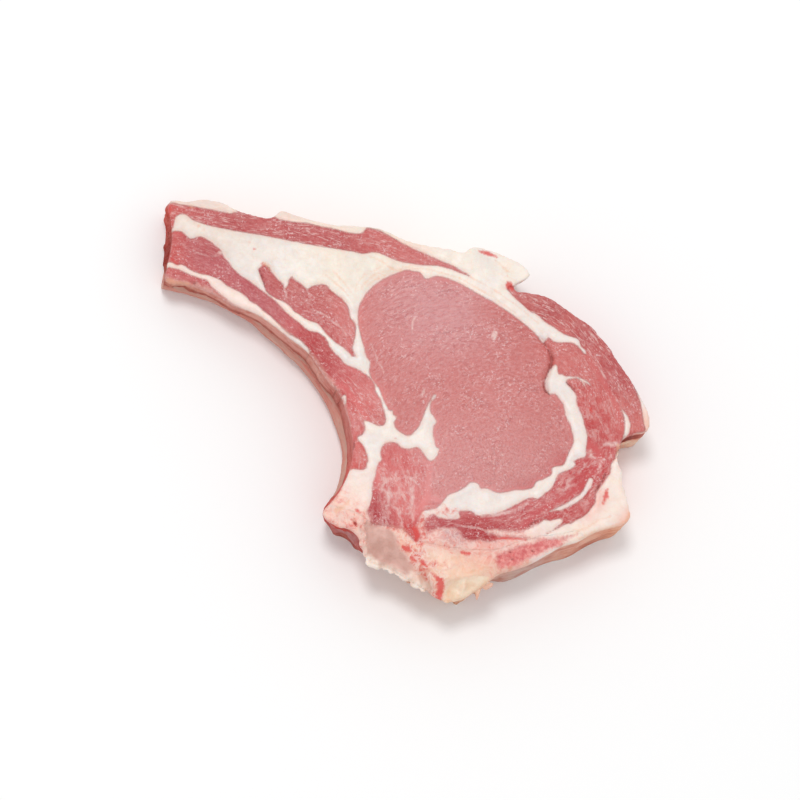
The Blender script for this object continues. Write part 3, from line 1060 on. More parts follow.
# %% Guides for the grain
GRAIN_GUIDES = [
    [(-90, 66.5), (-60, 61), (-20, 54), (22, 43)],
    [(-90, 51), (-70, 47), (-50, 32), (-34, 16), (-20, 4), (-8, -9)],
    [(-52, 42), (-38, 32), (-26, 27), (-19, 12)],
    [(-24, -1), (-18, -14), (-18, -28)],
    [(-6, -18), (-3, -32), (-1, -46), (3, -56)],
    [(38, 39), (56, 30), (70, 14), (80, -2), (82, -12)],
    [(48, 21), (60, 12), (68, -6), (70, -20), (62, -34), (46, -43)],
    [(66, -22), (56, -30), (44, -38), (24, -44), (6, -46)],
]
EYE_SWIRL = (40.0, -44.0)
EYE_TURN = 60.0
LAST_OF_SEAM_ON_EYE = 38
EYE_LOOP = EYE_TOP_BORDER + EYE_LEFT_BORDER + TONGUE_OF_FAT + [(6.5, -36.0)]
EYE_LOOP += EYE_SEAM_INNER[LAST_OF_SEAM_ON_EYE::-1]
print("grain guides:", len(GRAIN_GUIDES))

# %% [markdown]
# A guide gives two numbers to each point near it, how far along the muscle it lies and how far off its
# line, and the material stretches its noise with them. Halfway between two guides, and at the eye's
# border, the grain fades out, so that no crack shows there.

# %% The grain of the muscles
GUIDE_FADE = 3.0
GUIDE_STEPS = 3
APART = 200.0


def along_and_across(x, y, line):
    """How far along the line the nearest point lies, the signed distance from it, and the distance."""
    nearest = np.full(x.shape, FAR)
    along, across = np.zeros(x.shape), np.zeros(x.shape)
    walked = 0.0
    for (t, distance), (ax, ay), (bx, by) in zip(to_stretches(x, y, line), line, line[1:]):
        length = math.hypot(bx - ax, by - ay)
        closer = distance < nearest
        side = np.sign((bx - ax) * (y - ay) - (by - ay) * (x - ax))
        along = np.where(closer, walked + t * length, along)
        across = np.where(closer, side * distance, across)
        nearest = np.minimum(nearest, distance)
        walked += length
    return along, across, nearest


def grain(x, y):
    """Along, across, and how steady the grain is there."""
    best, second = np.full(x.shape, FAR), np.full(x.shape, FAR)
    along, across = np.zeros(x.shape), np.zeros(x.shape)
    for number, guide in enumerate(GRAIN_GUIDES):
        s, d, distance = along_and_across(x, y, smooth_path(guide, GUIDE_STEPS))
        closer = distance < best
        along = np.where(closer, s + APART * number, along)
        across = np.where(closer, d, across)
        second = np.minimum(second, np.maximum(best, distance))
        best = np.minimum(best, distance)
    in_eye = inside(x, y, EYE_LOOP)
    off_border = smoothstep(0.2, 1.4, distance_to_line(x, y, EYE_LOOP + EYE_LOOP[:1]))
    steady = np.where(in_eye, 1.0, smoothstep(0.0, GUIDE_FADE, second - best)) * off_border
    from_x, from_y = x - EYE_SWIRL[0], y - EYE_SWIRL[1]
    along = np.where(in_eye, np.arctan2(from_y, from_x) * EYE_TURN, along)
    across = np.where(in_eye, np.hypot(from_x, from_y), across)
    return np.stack([along, across, steady], axis=1)


steady = grain(*grid)[in_chop, 2]
print("the grain is steady on", round(100 * np.mean(steady > 0.5)), "% of the cut face")

# %% [markdown]
# Low relief makes the cut face read as flesh: fat stands a little proud of lean, seams and creases pull
# in, and nothing is quite even. The walls are rougher, most of all where the saw went through the rib and
# where the backbone was broken.

# %% Relief of the cut face
BEVEL_OF_EDGE = 1.3
FAT_RISE = 0.42
SEAM_DIP = 0.22
CREASE_DIP = 0.9
FOLD_DIP = 0.12
FACE_RIPPLES = [(11.0, 0.4, 1), (4.2, 0.26, 2), (1.7, 0.12, 3)]
FAT_RIPPLE = [(6.5, 0.3, 4)]
WALL_RIPPLES = [(4.5, 1.0, 11), (2.0, 0.6, 12)]
ROUGH_WALLS = [
    ((0.25,), 30, [(40, 30), (70, -40), (-40, 62), (-40, 20)]),
    ((1.6,), 9, [(-84, 42), (-84, 48), (-84, 54), (-84, 62)]),
    ((1.1,), 6, [(-26, -46), (-20, -49), (-15, -56), (-6, -61), (2, -66)]),
    ((0.5,), 7, [(34, -62), (12, -72), (76, -14)]),
]


def ripple(points, size, seed):
    """Smooth random heights between about -1 and 1, with bumps of the given size in millimetres."""
    shift = Vector((seed * 17.3, seed * 5.1, seed * 9.7))
    return np.array([noise.noise(Vector(p) / size + shift) for p in points])


def ripples(points, layers):
    """Bumps in several sizes at once. A layer is a size, a height and a seed."""
    return sum(height * ripple(points, size, seed) for size, height, seed in layers)


def rounded_rim(depth, radius):
    """How much a rounded edge drops at a depth behind it."""
    inner = np.clip(radius - depth, 0.0, radius)
    return radius - np.sqrt(np.maximum(radius * radius - inner * inner, 0.0))


def face_relief(x, y, points):
    """Rise of the cut face in millimetres. Fat stands proud, creases and parting muscles pull in."""
    fat = fat_depth(x, y)
    marks = mark_depths(x, y)
    rise = FAT_RISE * smoothstep(-0.5, 1.8, fat) - SEAM_DIP * fade(0.0, 0.9, np.abs(fat + 0.3))
    rise = rise - CREASE_DIP * smoothstep(-0.7, 0.5, marks[:, 1])
    rise = rise - FOLD_DIP * smoothstep(-0.5, 0.2, marks[:, 2])
    rise = rise + ripples(points, FACE_RIPPLES)
    return rise + smoothstep(0.0, 3.0, fat) * ripples(points, FAT_RIPPLE)


print("an edge drops", BEVEL_OF_EDGE, "mm at its rim, and fat stands", FAT_RISE, "mm proud")

# %% [markdown]
# Now every vertex of a slab is moved to its place in the chop. Its height in the slab is a level from 0,
# underside, to 1, upper face, and the level times the thickness is its new height. A Displace modifier
# follows one texture, but these moves follow the drawing, so they are done on the numbers themselves.

# %% Move a slab into form
def normals_of(piece):
    normals = np.empty(len(piece.data.vertices) * 3)
    piece.data.vertices.foreach_get("normal", normals)
    return normals.reshape(-1, 3)


def shape_slab(piece, extra_relief=None):
    """Move a slab's vertices to the chop's form.

    Returns where each vertex lay in the drawing, its level, and how far behind the rim it lies.
    """
    points, normals = points_of(piece), normals_of(piece)
    x, y = points[:, 0].copy(), points[:, 1].copy()
    level = np.clip((points[:, 2] - UNDERSIDE_BAND) / (SLAB - UNDERSIDE_BAND), 0.0, 1.2)
    shift_x, shift_y = foot_shift(x, y)
    rim = distance_to_line(x, y, list(outline) + [outline[0]])
    height = thickness(x, y) - rounded_rim(rim, BEVEL_OF_EDGE) + face_relief(x, y, points)
    if extra_relief is not None:
        height = height + extra_relief(x, y, points)
    on_wall = smoothstep(0.05, 0.2, level) * fade(0.8, 0.97, level) * (rim < 1.0)
    swell = ripples(points, WALL_RIPPLES) * on_wall * blend_places(x, y, ROUGH_WALLS)[:, 0]
    points[:, 0] = x + shift_x * (1.0 - level) + normals[:, 0] * swell
    points[:, 1] = y + shift_y * (1.0 - level) + normals[:, 1] * swell
    points[:, 2] = height * level
    put_points(piece, points)
    return x, y, level, rim


meat_places = shape_slab(meat)
print("meat:", round(points_of(meat)[:, 2].max(), 1), "mm high at its highest point")

# %% [markdown]
# Only the half backbone has cartilage, red marrow and an ivory tip. Each is a loop, so that its depth can
# blend one finish into the next.

# %% Cartilage, marrow and the tip of the bone
CARTILAGE = [
    (-14.6, -46.6), (-11.3, -46.7), (-8.6, -47.2), (-6.7, -47.8), (-5.2, -49.2), (-3.8, -51.1),
    (-2.8, -53.2), (-1.5, -55.3), (0.5, -58), (2.4, -60.6), (0.4, -63), (-4.2, -61), (-8, -59.2),
    (-11, -58.4), (-13.6, -56.4), (-14.4, -52),
]
MARROW = [
    (59, -47.7), (56.4, -48.7), (53.9, -49.1), (50.7, -49.2), (48.2, -49.5), (45.6, -49.9), (43.1, -51.2),
    (40.9, -51.9), (38.1, -52.6), (35.9, -53.6), (33.7, -54.6), (30.6, -55.6), (30.4, -58.6), (31.8, -61),
    (34.9, -60.3), (37.4, -59.6), (39.6, -58.4), (41.8, -57.2), (44.3, -56.2), (46.8, -54.9),
    (48.7, -53.6), (50.6, -53), (53.2, -52.2), (54.4, -50.6), (56.3, -49.3),
]
TIP_OF_BONE = [
    (13.6, -72.6), (12.8, -70.9), (13.3, -68.2), (15.7, -65.2), (19.9, -64.2), (24.7, -63.5),
    (28.2, -63.6), (27.9, -65.4), (23.6, -68.4), (19.9, -71), (15.6, -73.4),
]
CARTILAGE = smooth_loop(CARTILAGE, 3).tolist()
print("loops in the bone:", len(CARTILAGE), len(MARROW), len(TIP_OF_BONE), "points")

# %% [markdown]
# Some walls change with height, such as under the end of the cap, where dark lean lies over cream fat. A
# band has a colour, a place, a reach, and the heights between which it lies. The rib's groove and the
# hem above it follow the rib's line instead.

# %% Bands on the walls
GROOVE_TINT = (172, 92, 80)
HEM_TINT = (216, 162, 150)
HEM_STRENGTH = 0.8
WALL_BANDS = [
    ((140, 50, 42), (78.5, -13), 6, (14, 22.5)),
    ((236, 204, 180), (80, -12), 8, (1, 13)),
    ((194, 74, 66), (-26, -46), 7, (18.5, 24)),
    ((184, 132, 130), (-21.5, -49.5), 4, (9, 18)),
    ((172, 94, 84), (-24, -49), 9, (0, 8)),
    ((196, 124, 104), (66.5, -47), 8, (1, 12)),
]


def pull_toward(tint, colour, share):
    """Pull a tint toward a display colour, by a share for each vertex."""
    tint[:, :3] += (linear(*colour) - tint[:, :3]) * share[:, None]


def wall_tints(x, y, points, near_rib):
    tint = blend_tints(x, y, WALL_TINTS)
    pull_toward(tint, GROOVE_TINT, near_rib * fade(0.4, 2.6, points[:, 2] - GROOVE_HEIGHT))
    wavy = points[:, 2] + 1.6 * ripple(points, 5.0, 21)
    for colour, (cx, cy), reach, (low, high) in WALL_BANDS:
        share = np.exp(-((x - cx) ** 2 + (y - cy) ** 2) / reach ** 2)
        share = share * smoothstep(low - 1.0, low + 1.0, wavy) * fade(high - 1.0, high + 1.0, wavy)
        pull_toward(tint, colour, share)
    return tint


print("bands on the walls:", len(WALL_BANDS))

# %% [markdown]
# Blood seeps into broken bone and stays off clean fat. A number at a few places says how much of it
# there is, and it blends as the tints do.

# %% Blood in the broken bone
BLOOD_PLACES = [
    ((0,), 14, [(-60, 52), (-20, 45), (30, 40), (20, 52), (-6, -14), (50, -30)]),
    ((0.9,), 5, [(2, -49), (0, -54), (4, -58.5), (8, -62.5), (11, -68)]),
    ((0.65,), 5, [(12, -49.5), (20, -52.5), (28, -53), (34, -52), (-3, -49.5)]),
    ((0.6,), 4.5, [(-22, -38), (-25, -42.5), (-19.5, -45)]),
    ((0.25,), 5, [(12, -57), (18, -60), (24, -57.5)]),
    ((0,), 2.4, [(-11.2, -60), (-6.2, -61.8), (-1.2, -63.6), (2.9, -66), (4.9, -68.4)] * 3),
    ((0.22,), 4, [(68, -35), (63, -42.5), (56, -47)]),
    ((0.1,), 6, [(-18, -32), (-17, -18), (18, -68)]),
]
print("places with a note on blood:", sum(len(places) for _, _, places in BLOOD_PLACES))

# %% [markdown]
# Attributes keep on each vertex what the materials need to know: how deep in fat it lies, how near to a
# vein or a mark, how the grain runs, which tints it has, and whether it belongs to a wall. They are the
# same for the meat and the half backbone, so colours run on over the line where the two pieces meet, as
# they do on the real thing.

# %% Attributes for the materials
PALE_BLOOM = (0.78, 0.43, 0.42)
PALE_DETAIL_SHARE = 0.1
MELTING_BORDER = [(-14, -45.5), (-2, -48), (10, -48.5), (22, -51), (34, -50), (46, -49.5)]
SHARP_BORDER = 0.4
MELTED_BORDER = 1.3


def store(piece, name, values):
    """Keep one number, or one colour, for each vertex."""
    kind = "FLOAT" if values.ndim == 1 else {3: "FLOAT_VECTOR", 4: "FLOAT_COLOR"}[values.shape[1]]
    field = {"FLOAT": "value", "FLOAT_VECTOR": "vector", "FLOAT_COLOR": "color"}[kind]
    attribute = piece.data.attributes.new(name, kind, "POINT")
    attribute.data.foreach_set(field, values.astype(np.float32).ravel())


def lean_tints(x, y, points, rim, near_rib):
    """The tint makes up for the pale bloom that the material adds, and has a paler hem by the rib."""
    tint = blend_tints(x, y, LEAN_TINTS)
    tint[:, :3] += PALE_DETAIL_SHARE * (tint[:, :3] - np.array(PALE_BLOOM))
    hem = near_rib * fade(0.5, 2.2, rim + 0.9 * ripple(points, 2.2, 22))
    pull_toward(tint, HEM_TINT, HEM_STRENGTH * hem)
    return np.clip(tint, 0.01, 1.0)


def store_finish(piece, x, y, level, rim):
    points = points_of(piece)
    near_rib = fade(1.0, 3.0, distance_to_line(x, y, rib_line)) * (x < -20.0)
    store(piece, "lean_tint", lean_tints(x, y, points, rim, near_rib))
    store(piece, "fat_tint", blend_tints(x, y, FAT_TINTS))
    store(piece, "wall_tint", wall_tints(x, y, points, near_rib))
    on_top = smoothstep(1.0, 2.5, rim) * smoothstep(12.5, 14.0, points[:, 2])
    store(piece, "wall", fade(0.93, 0.99, level) * smoothstep(0.0, 0.06, level) * (1.0 - on_top))
    store(piece, "fat", fat_depth(x, y))
    soft_border = fade(1.5, 6.0, distance_to_line(x, y, MELTING_BORDER))
    store(piece, "softness", SHARP_BORDER + (MELTED_BORDER - SHARP_BORDER) * soft_border)
    store(piece, "veins", greatest(x, y, depth_in_stroke, faint_strokes))
    store(piece, "marks", mark_depths(x, y))
    in_bone = [greatest(x, y, depth_in, [loop]) for loop in (CARTILAGE, MARROW, TIP_OF_BONE)]
    store(piece, "bone", np.stack(in_bone, axis=1))
    store(piece, "blood", blend_places(x, y, BLOOD_PLACES)[:, 0])
    store(piece, "lean_texture", blend_places(x, y, LEAN_TEXTURES))
    store(piece, "grain", grain(x, y))


store_finish(meat, *meat_places)
settle(meat)
print("meat:", len(meat.data.vertices), "vertices with", len(meat.data.attributes), "attributes")

# %% [markdown]
# Materials are built from nodes, and a few short helpers keep their recipes readable. The first ones add
# a node, set or link its sockets, and do sums. Shade and cover lay a tint over a colour, by a share that
# follows a pattern: shade darkens as a filter does, and cover hides what is under it.

# %% Helpers for nodes
bench = {}


def new_material(name):
    """A new material. The helpers work on its node tree until the next one is made."""
    material = bpy.data.materials.new(name)
    material.use_nodes = True
    bench["tree"] = material.node_tree
    return material, material.node_tree.nodes["Principled BSDF"]


def plug(socket, value):
    if isinstance(value, bpy.types.NodeSocket):
        bench["tree"].links.new(value, socket)
    else:
        socket.default_value = value


def node(kind, sockets=None, **settings):
    made = bench["tree"].nodes.new(kind)
    for key, value in settings.items():
        setattr(made, key, value)
    for key, value in (sockets or {}).items():
        plug(made.inputs[key], value)
    return made


def calc(operation, *values):
    made = node("ShaderNodeMath", operation=operation)
    for socket, value in zip(made.inputs, values):
        plug(socket, value)
    return made.outputs[0]


def times(*values):
    product = values[0]
    for value in values[1:]:
        product = calc("MULTIPLY", product, value)
    return product


def times_plus(value, factor, extra):
    return calc("MULTIPLY_ADD", value, factor, extra)


def plus(first, second):
    return calc("ADD", first, second)


def ramp(value, low, high, start=0.0, end=1.0):
    """Turn value from low to high into start to end, easing in and out."""
    sockets = {0: value, 1: low, 2: high, 3: start, 4: end}
    return node("ShaderNodeMapRange", sockets, interpolation_type="SMOOTHSTEP").outputs[0]


def mix(factor, first, second, how="MIX"):
    made = node("ShaderNodeMix", data_type="RGBA", blend_type=how)
    plug(made.inputs[0], factor)
    for socket, value in ((made.inputs[6], first), (made.inputs[7], second)):
        plug(socket, value if isinstance(value, bpy.types.NodeSocket) else (*value, 1.0))
    return made.outputs[2]


def cover(colour, tint, pattern, low, high, start=0.0, end=1.0):
    return mix(ramp(pattern, low, high, start, end), colour, tint)


def shade(colour, tint, pattern, low, high, start=0.0, end=1.0):
    return mix(ramp(pattern, low, high, start, end), colour, tint, "MULTIPLY")


def attribute(name, output="Fac"):
    return node("ShaderNodeAttribute", attribute_name=name).outputs[output]


def three_numbers(name):
    return node("ShaderNodeSeparateXYZ", {0: attribute(name, "Vector")}).outputs


print("tints to read:", [item.name for item in meat.data.attributes if "tint" in item.name])

# %% [markdown]
# Patterns come next. Clouds is noise at a size in millimetres, cells are lobules, and thin lines are
# drawn where a noise crosses its middle value. A pattern is placed by object coordinates or by an
# attribute, so that it stays on the piece from any side.

# %% Helpers for patterns
MIDDLE = 0.5
FLESH_RADIUS = (1.0, 0.45, 0.3)
FLESH_DEPTH = 1.2 * MM


def clouds(where, size, detail=3.0, roughness=0.55, stretch=(1.0, 1.0, 1.0), warp=0.0):
    """Noise with bumps of about the given size in millimetres. Stretch squeezes the directions first."""
    turned = node("ShaderNodeMapping", {"Vector": where, "Scale": stretch}).outputs[0]
    sockets = {
        "Vector": turned, "Scale": 1.0 / size, "Detail": detail, "Roughness": roughness, "Distortion": warp,
    }
    return node("ShaderNodeTexNoise", sockets).outputs["Fac"]


def cells(where, size):
    """Distance from the middle of the nearest cell, for cells of about the given size in millimetres."""
    return node("ShaderNodeTexVoronoi", {"Vector": where, "Scale": 1.0 / size}).outputs["Distance"]


def thin_lines(value, width):
    """1 where a noise crosses its middle value, which draws thin winding lines."""
    off_middle = calc("ABSOLUTE", plus(value, -MIDDLE))
    return ramp(off_middle, width * 0.3, width, 1.0, 0.0)


def calm(pattern, keep):
    """Keep a share of a pattern's swing round its middle value."""
    return times_plus(plus(pattern, -MIDDLE), keep, MIDDLE)


def place_in_mm():
    place = node("ShaderNodeTexCoord").outputs["Object"]
    return node("ShaderNodeVectorMath", {0: place, "Scale": 1.0 / MM}, operation="SCALE").outputs[0]


def bump(height):
    """A height in millimetres as a normal."""
    return node("ShaderNodeBump", {"Height": height, "Distance": MM, "Strength": 1.0}).outputs[0]


def moisten(shader, subsurface):
    """Light sinks a little into flesh, red deepest, and a film of moisture lies on top."""
    shader.inputs["Subsurface Weight"].default_value = subsurface
    shader.inputs["Subsurface Radius"].default_value = FLESH_RADIUS
    shader.inputs["Subsurface Scale"].default_value = FLESH_DEPTH
    shader.inputs["IOR"].default_value = 1.4


print("light sinks", round(FLESH_DEPTH / MM, 1), "mm into flesh")

# %% [markdown]
# Lean is the busiest finish. Bundles of fibres give it darker and paler streaks along the grain. A pale
# bloom lies over it in a fine mesh, because light scatters on moist wrinkles, and specks are droplets
# that catch the light. Colour and height come from the same patterns, so that they agree.

# %% Lean
ALONG_FIBRES = (0.14, 1.0, 0.0)
ALONG_DASHES = (0.16, 1.0, 0.0)
ALONG_WRINKLES = (0.5, 1.0, 0.0)
ALONG_MARBLING = (0.55, 1.0, 0.0)
FIBRE_SHADE = (0.86, 0.6, 0.6)
WRINKLE_SHADE = (0.9, 0.72, 0.72)
FOLD_SHADE = (0.86, 0.71, 0.73)
DROPLET = (0.88, 0.6, 0.6)


def lean_finish(place):
    """Colour of the lean, and its height in millimetres."""
    web, dashes, wrinkles = three_numbers("lean_texture")
    along_grain = attribute("grain", "Vector")
    steady = three_numbers("grain")[2]
    bundles = clouds(along_grain, 1.7, 5.0, 0.66, ALONG_FIBRES)
    bundles = calm(bundles, times(steady, times_plus(wrinkles, -0.8, 1.0)))
    zones = clouds(place, 9.0, 4.0, 0.6)
    mesh = calm(clouds(along_grain, 0.85, 4.0, 0.7, ALONG_WRINKLES, 0.4), steady)
    fine = clouds(place, 0.75, 3.0, 0.7)

    colour = attribute("lean_tint", "Color")
    colour = shade(colour, FIBRE_SHADE, bundles, 0.32, 0.52, 0.6, 0.0)
    colour = shade(colour, WRINKLE_SHADE, mesh, 0.36, 0.5, 0.7, 0.0)
    bloom = times(ramp(mesh, 0.48, 0.66), ramp(zones, 0.36, 0.62, 0.3, 1.0))
    colour = mix(times(bloom, times_plus(wrinkles, 0.4, 0.3)), colour, PALE_BLOOM)
    colour = cover(colour, PALE_BLOOM, bundles, 0.54, 0.74, 0.0, 0.35)
    folds = thin_lines(clouds(along_grain, 6.5, 3.0, 0.6, ALONG_MARBLING, 0.9), 0.022)
    folds = times(folds, wrinkles, steady, ramp(zones, 0.44, 0.6, 0.1, 0.6))
    colour = mix(folds, colour, FOLD_SHADE, "MULTIPLY")
    drops = times(ramp(fine, 0.57, 0.65), ramp(zones, 0.4, 0.6, 0.2, 0.75))
    colour = mix(drops, colour, DROPLET)
    colour, net = fat_in_lean(place, along_grain, colour, web, dashes, steady)

    height = times_plus(bundles, 0.4, times(fine, 0.2))
    for pattern, rise in ((mesh, 0.5), (folds, -0.14), (net, 0.08)):
        height = times_plus(pattern, rise, height)
    return colour, height


print("shades of the lean:", FIBRE_SHADE, WRINKLE_SHADE, FOLD_SHADE)

# %% [markdown]
# Fat lies inside the lean in two ways. Broken chains of dashes are fat between bundles of fibres, in the
# cap and in the strip over the wedge. Soft winding threads and blots are marbling, most of all in the
# lump beside the backbone.

# %% Fat in the lean
DASH_OF_FAT = (0.86, 0.58, 0.55)
MARBLING_TINT = (0.87, 0.6, 0.56)


def fat_in_lean(place, along_grain, colour, web, dashes, steady):
    chains = ramp(clouds(along_grain, 0.5, 3.0, 0.65, ALONG_DASHES), 0.49, 0.64)
    where_chains = ramp(clouds(along_grain, 2.2, 2.0, 0.5, ALONG_FIBRES), 0.44, 0.58)
    chains = times(chains, where_chains, dashes, steady, 0.75)
    colour = mix(chains, colour, DASH_OF_FAT)

    net = thin_lines(clouds(along_grain, 3.6, 4.0, 0.62, ALONG_MARBLING, 0.8), 0.09)
    net = times(net, ramp(clouds(place, 4.5, 3.0), 0.42, 0.6), 0.8)
    blots = ramp(clouds(along_grain, 2.4, 5.0, 0.66, ALONG_MARBLING), 0.5, 0.68)
    net = times(calc("MAXIMUM", net, blots), web, steady, 0.75)
    return mix(net, colour, MARBLING_TINT), net


print("fat in the lean:", DASH_OF_FAT, MARBLING_TINT)

# %% [markdown]
# Fat is waxy: soft lobules, a few winding threads, and a pink hem where the lean shines through its thin
# edge.

# %% Fat
LOBULE_SHADE = (0.98, 0.94, 0.9)
THREAD_SHADE = (0.97, 0.88, 0.8)
SOFT_SHADE = (0.96, 0.9, 0.86)
COOL_SHADE = (0.93, 0.94, 0.98)
PINK_HEM = (0.86, 0.55, 0.49)


def fat_finish(place, fat):
    lobules = cells(place, 3.0)
    threads = thin_lines(clouds(place, 4.5, 4.0, 0.55, warp=0.3), 0.03)
    soft = clouds(place, 2.6, 4.0, 0.6)
    colour = attribute("fat_tint", "Color")
    colour = shade(colour, LOBULE_SHADE, lobules, 0.3, 0.8, 0.0, 0.3)
    colour = mix(times(threads, 0.3), colour, THREAD_SHADE, "MULTIPLY")
    colour = shade(colour, SOFT_SHADE, soft, 0.46, 0.68, 0.0, 0.5)
    colour = shade(colour, COOL_SHADE, clouds(place, 8.0, 3.0), 0.44, 0.62, 0.0, 0.6)
    hem = times(ramp(fat, 0.1, 1.1, 0.5, 0.0), ramp(soft, 0.35, 0.6, 0.4, 1.0))
    colour = mix(hem, colour, PINK_HEM)
    return colour, times_plus(soft, 0.16, times(lobules, -0.07))


print("shades of the fat:", LOBULE_SHADE, THREAD_SHADE, SOFT_SHADE, COOL_SHADE)

# %% [markdown]
# Bone and gristle share the fat's recipe and differ in tint. Blood seeped into the broken bone in
# blotches, and the three loops add what only bone has: smooth grey-pink cartilage, spongy red marrow and
# the ivory tip. Each is laid over the one before.

# %% Bone
BLOOD_BLUSH = (0.82, 0.3, 0.24)
BLOOD_STAIN = (0.66, 0.1, 0.085)
PALE_THREAD = (0.9, 0.74, 0.68)
GREY_PINKS = ((0.6, 0.335, 0.28), (0.71, 0.43, 0.37))
MARROW_REDS = ((0.63, 0.105, 0.11), (0.85, 0.34, 0.31))
PIT_RED = (0.6, 0.07, 0.075)
IVORIES = ((0.82, 0.58, 0.41), (0.87, 0.7, 0.55))


def bloody(blood, blotches, threads, colour):
    """Blush and stain where blood seeped in, and pale threads of gristle over it."""
    seeped = times_plus(blood, 0.24, blotches)
    is_bloody = ramp(blood, 0.1, 0.4)
    blush = times(ramp(seeped, 0.54, 0.8, 0.0, 0.6), is_bloody)
    stain = times(ramp(seeped, 0.68, 0.84, 0.0, 0.75), is_bloody)
    colour = mix(blush, colour, BLOOD_BLUSH)
    colour = mix(stain, colour, BLOOD_STAIN)
    return mix(times(threads, blood, 0.6), colour, PALE_THREAD)


def bone_finish(place, edge, colour, height):
    """Lay bone over the pale gristle. The third result is how smooth it is."""
    cartilage, marrow, tip = three_numbers("bone")
    broad_edge = times_plus(clouds(place, 4.0, 2.0), 3.0, -1.5)
    cartilage = ramp(plus(cartilage, broad_edge), -0.7, 1.3)
    marrow = ramp(times_plus(edge, 2.0, marrow), -0.9, 1.2)
    tip = ramp(plus(tip, edge), -0.2, 0.4)
    sponge = clouds(place, 1.5, 4.0, 0.65)
    pits = ramp(clouds(place, 0.7, 3.0, 0.6), 0.4, 0.56, 1.0, 0.0)
    blotches = clouds(place, 3.2, 6.0, 0.68, warp=0.5)
    threads = thin_lines(clouds(place, 3.0, 4.0, 0.6, warp=0.8), 0.07)
    mottled = ramp(clouds(place, 5.0), 0.36, 0.62)
    blood = attribute("blood")

    colour = bloody(blood, blotches, threads, colour)
    colour = mix(cartilage, colour, mix(mottled, *GREY_PINKS))
    red = mix(ramp(sponge, 0.34, 0.68), *MARROW_REDS)
    red = mix(times(pits, 0.3), red, PIT_RED)
    colour = mix(times(marrow, 0.92), colour, red)
    colour = mix(tip, colour, mix(mottled, *IVORIES))

    height = times(height, times_plus(cartilage, -0.8, 1.0))
    rough = plus(times(marrow, sponge, 0.35), times(blood, blotches, 0.6))
    return colour, plus(height, rough), calc("MAXIMUM", cartilage, tip)


print("marrow:", MARROW_REDS, "tip:", IVORIES)

# %% [markdown]
# The marks go over everything. Each group has a colour, a strength and the width of its soft edge.

# %% Marks
MARK_INKS = [
    ((0.7, 0.07, 0.06), 0.86, 0.5),
    ((0.3, 0.045, 0.035), 0.75, 0.35),
    ((0.84, 0.42, 0.24), 0.5, 0.6),
]


def marks_over(edge, colour):
    nudge = times(edge, 1.3)
    for depth, (ink, strength, width) in zip(three_numbers("marks"), MARK_INKS):
        colour = cover(colour, ink, plus(depth, nudge), -width, width, 0.0, strength)
    return colour


print("inks:", len(MARK_INKS))

# %% [markdown]
# The walls come last. They are streaked along the side, because membrane and silverskin stretch that way,
# and patchy where bits of fat cling to them.

# %% Walls
ALONG_MEMBRANE = (0.34, 0.34, 1.0)
PATCH_SHADE = (0.84, 0.55, 0.5)
PATCH_LIGHT = (1.06, 1.18, 1.14)
STREAK_SHADE = (0.8, 0.48, 0.44)
STREAK_LIGHT = (1.06, 1.2, 1.16)


def wall_finish(place):
    streaks = clouds(place, 2.4, 5.0, 0.62, ALONG_MEMBRANE, 0.7)
    patches = clouds(place, 6.0, 5.0, 0.6, warp=0.5)
    colour = attribute("wall_tint", "Color")
    colour = shade(colour, PATCH_SHADE, patches, 0.46, 0.66, 0.0, 0.7)
    colour = shade(colour, PATCH_LIGHT, patches, 0.36, 0.48, 0.6, 0.0)
    colour = shade(colour, STREAK_SHADE, streaks, 0.5, 0.68, 0.0, 0.7)
    colour = shade(colour, STREAK_LIGHT, streaks, 0.34, 0.47, 0.7, 0.0)
    return colour, times_plus(streaks, 0.3, times(patches, 0.5))


print("membrane is stretched to", ALONG_MEMBRANE)

# %% [markdown]
# One recipe serves the whole piece. Its borders fray: a ragged noise is added to every depth before it
# becomes a mask. The sides are seen at a flat angle, where a moist film would mirror the bright room and
# hide their colour, so they get less shine than the cut face.

# %% One recipe for meat and backbone
DULL_SIDE = 0.02
MOIST_SHINE = 0.5
VEIN_TINT = (0.87, 0.64, 0.6)


def vein_share(place, edge):
    """Veins are soft and broken, and softest in the marbled muscles."""
    web = three_numbers("lean_texture")[0]
    blur = times_plus(web, 0.8, 0.3)
    veins = times_plus(edge, times_plus(web, 0.8, 0.5), attribute("veins"))
    share = ramp(veins, times(blur, -0.8), plus(blur, 0.15), 0.0, 0.75)
    return times(share, ramp(clouds(place, 1.7, 3.0), 0.36, 0.54, 0.35, 1.0))


def finish(shader, colour, height, roughness, uneven):
    """Plug a colour, a height and a roughness that varies by an uneven pattern into the shader."""
    plug(shader.inputs["Base Color"], colour)
    plug(shader.inputs["Roughness"], times_plus(uneven, 0.3, roughness))
    plug(shader.inputs["Normal"], bump(height))


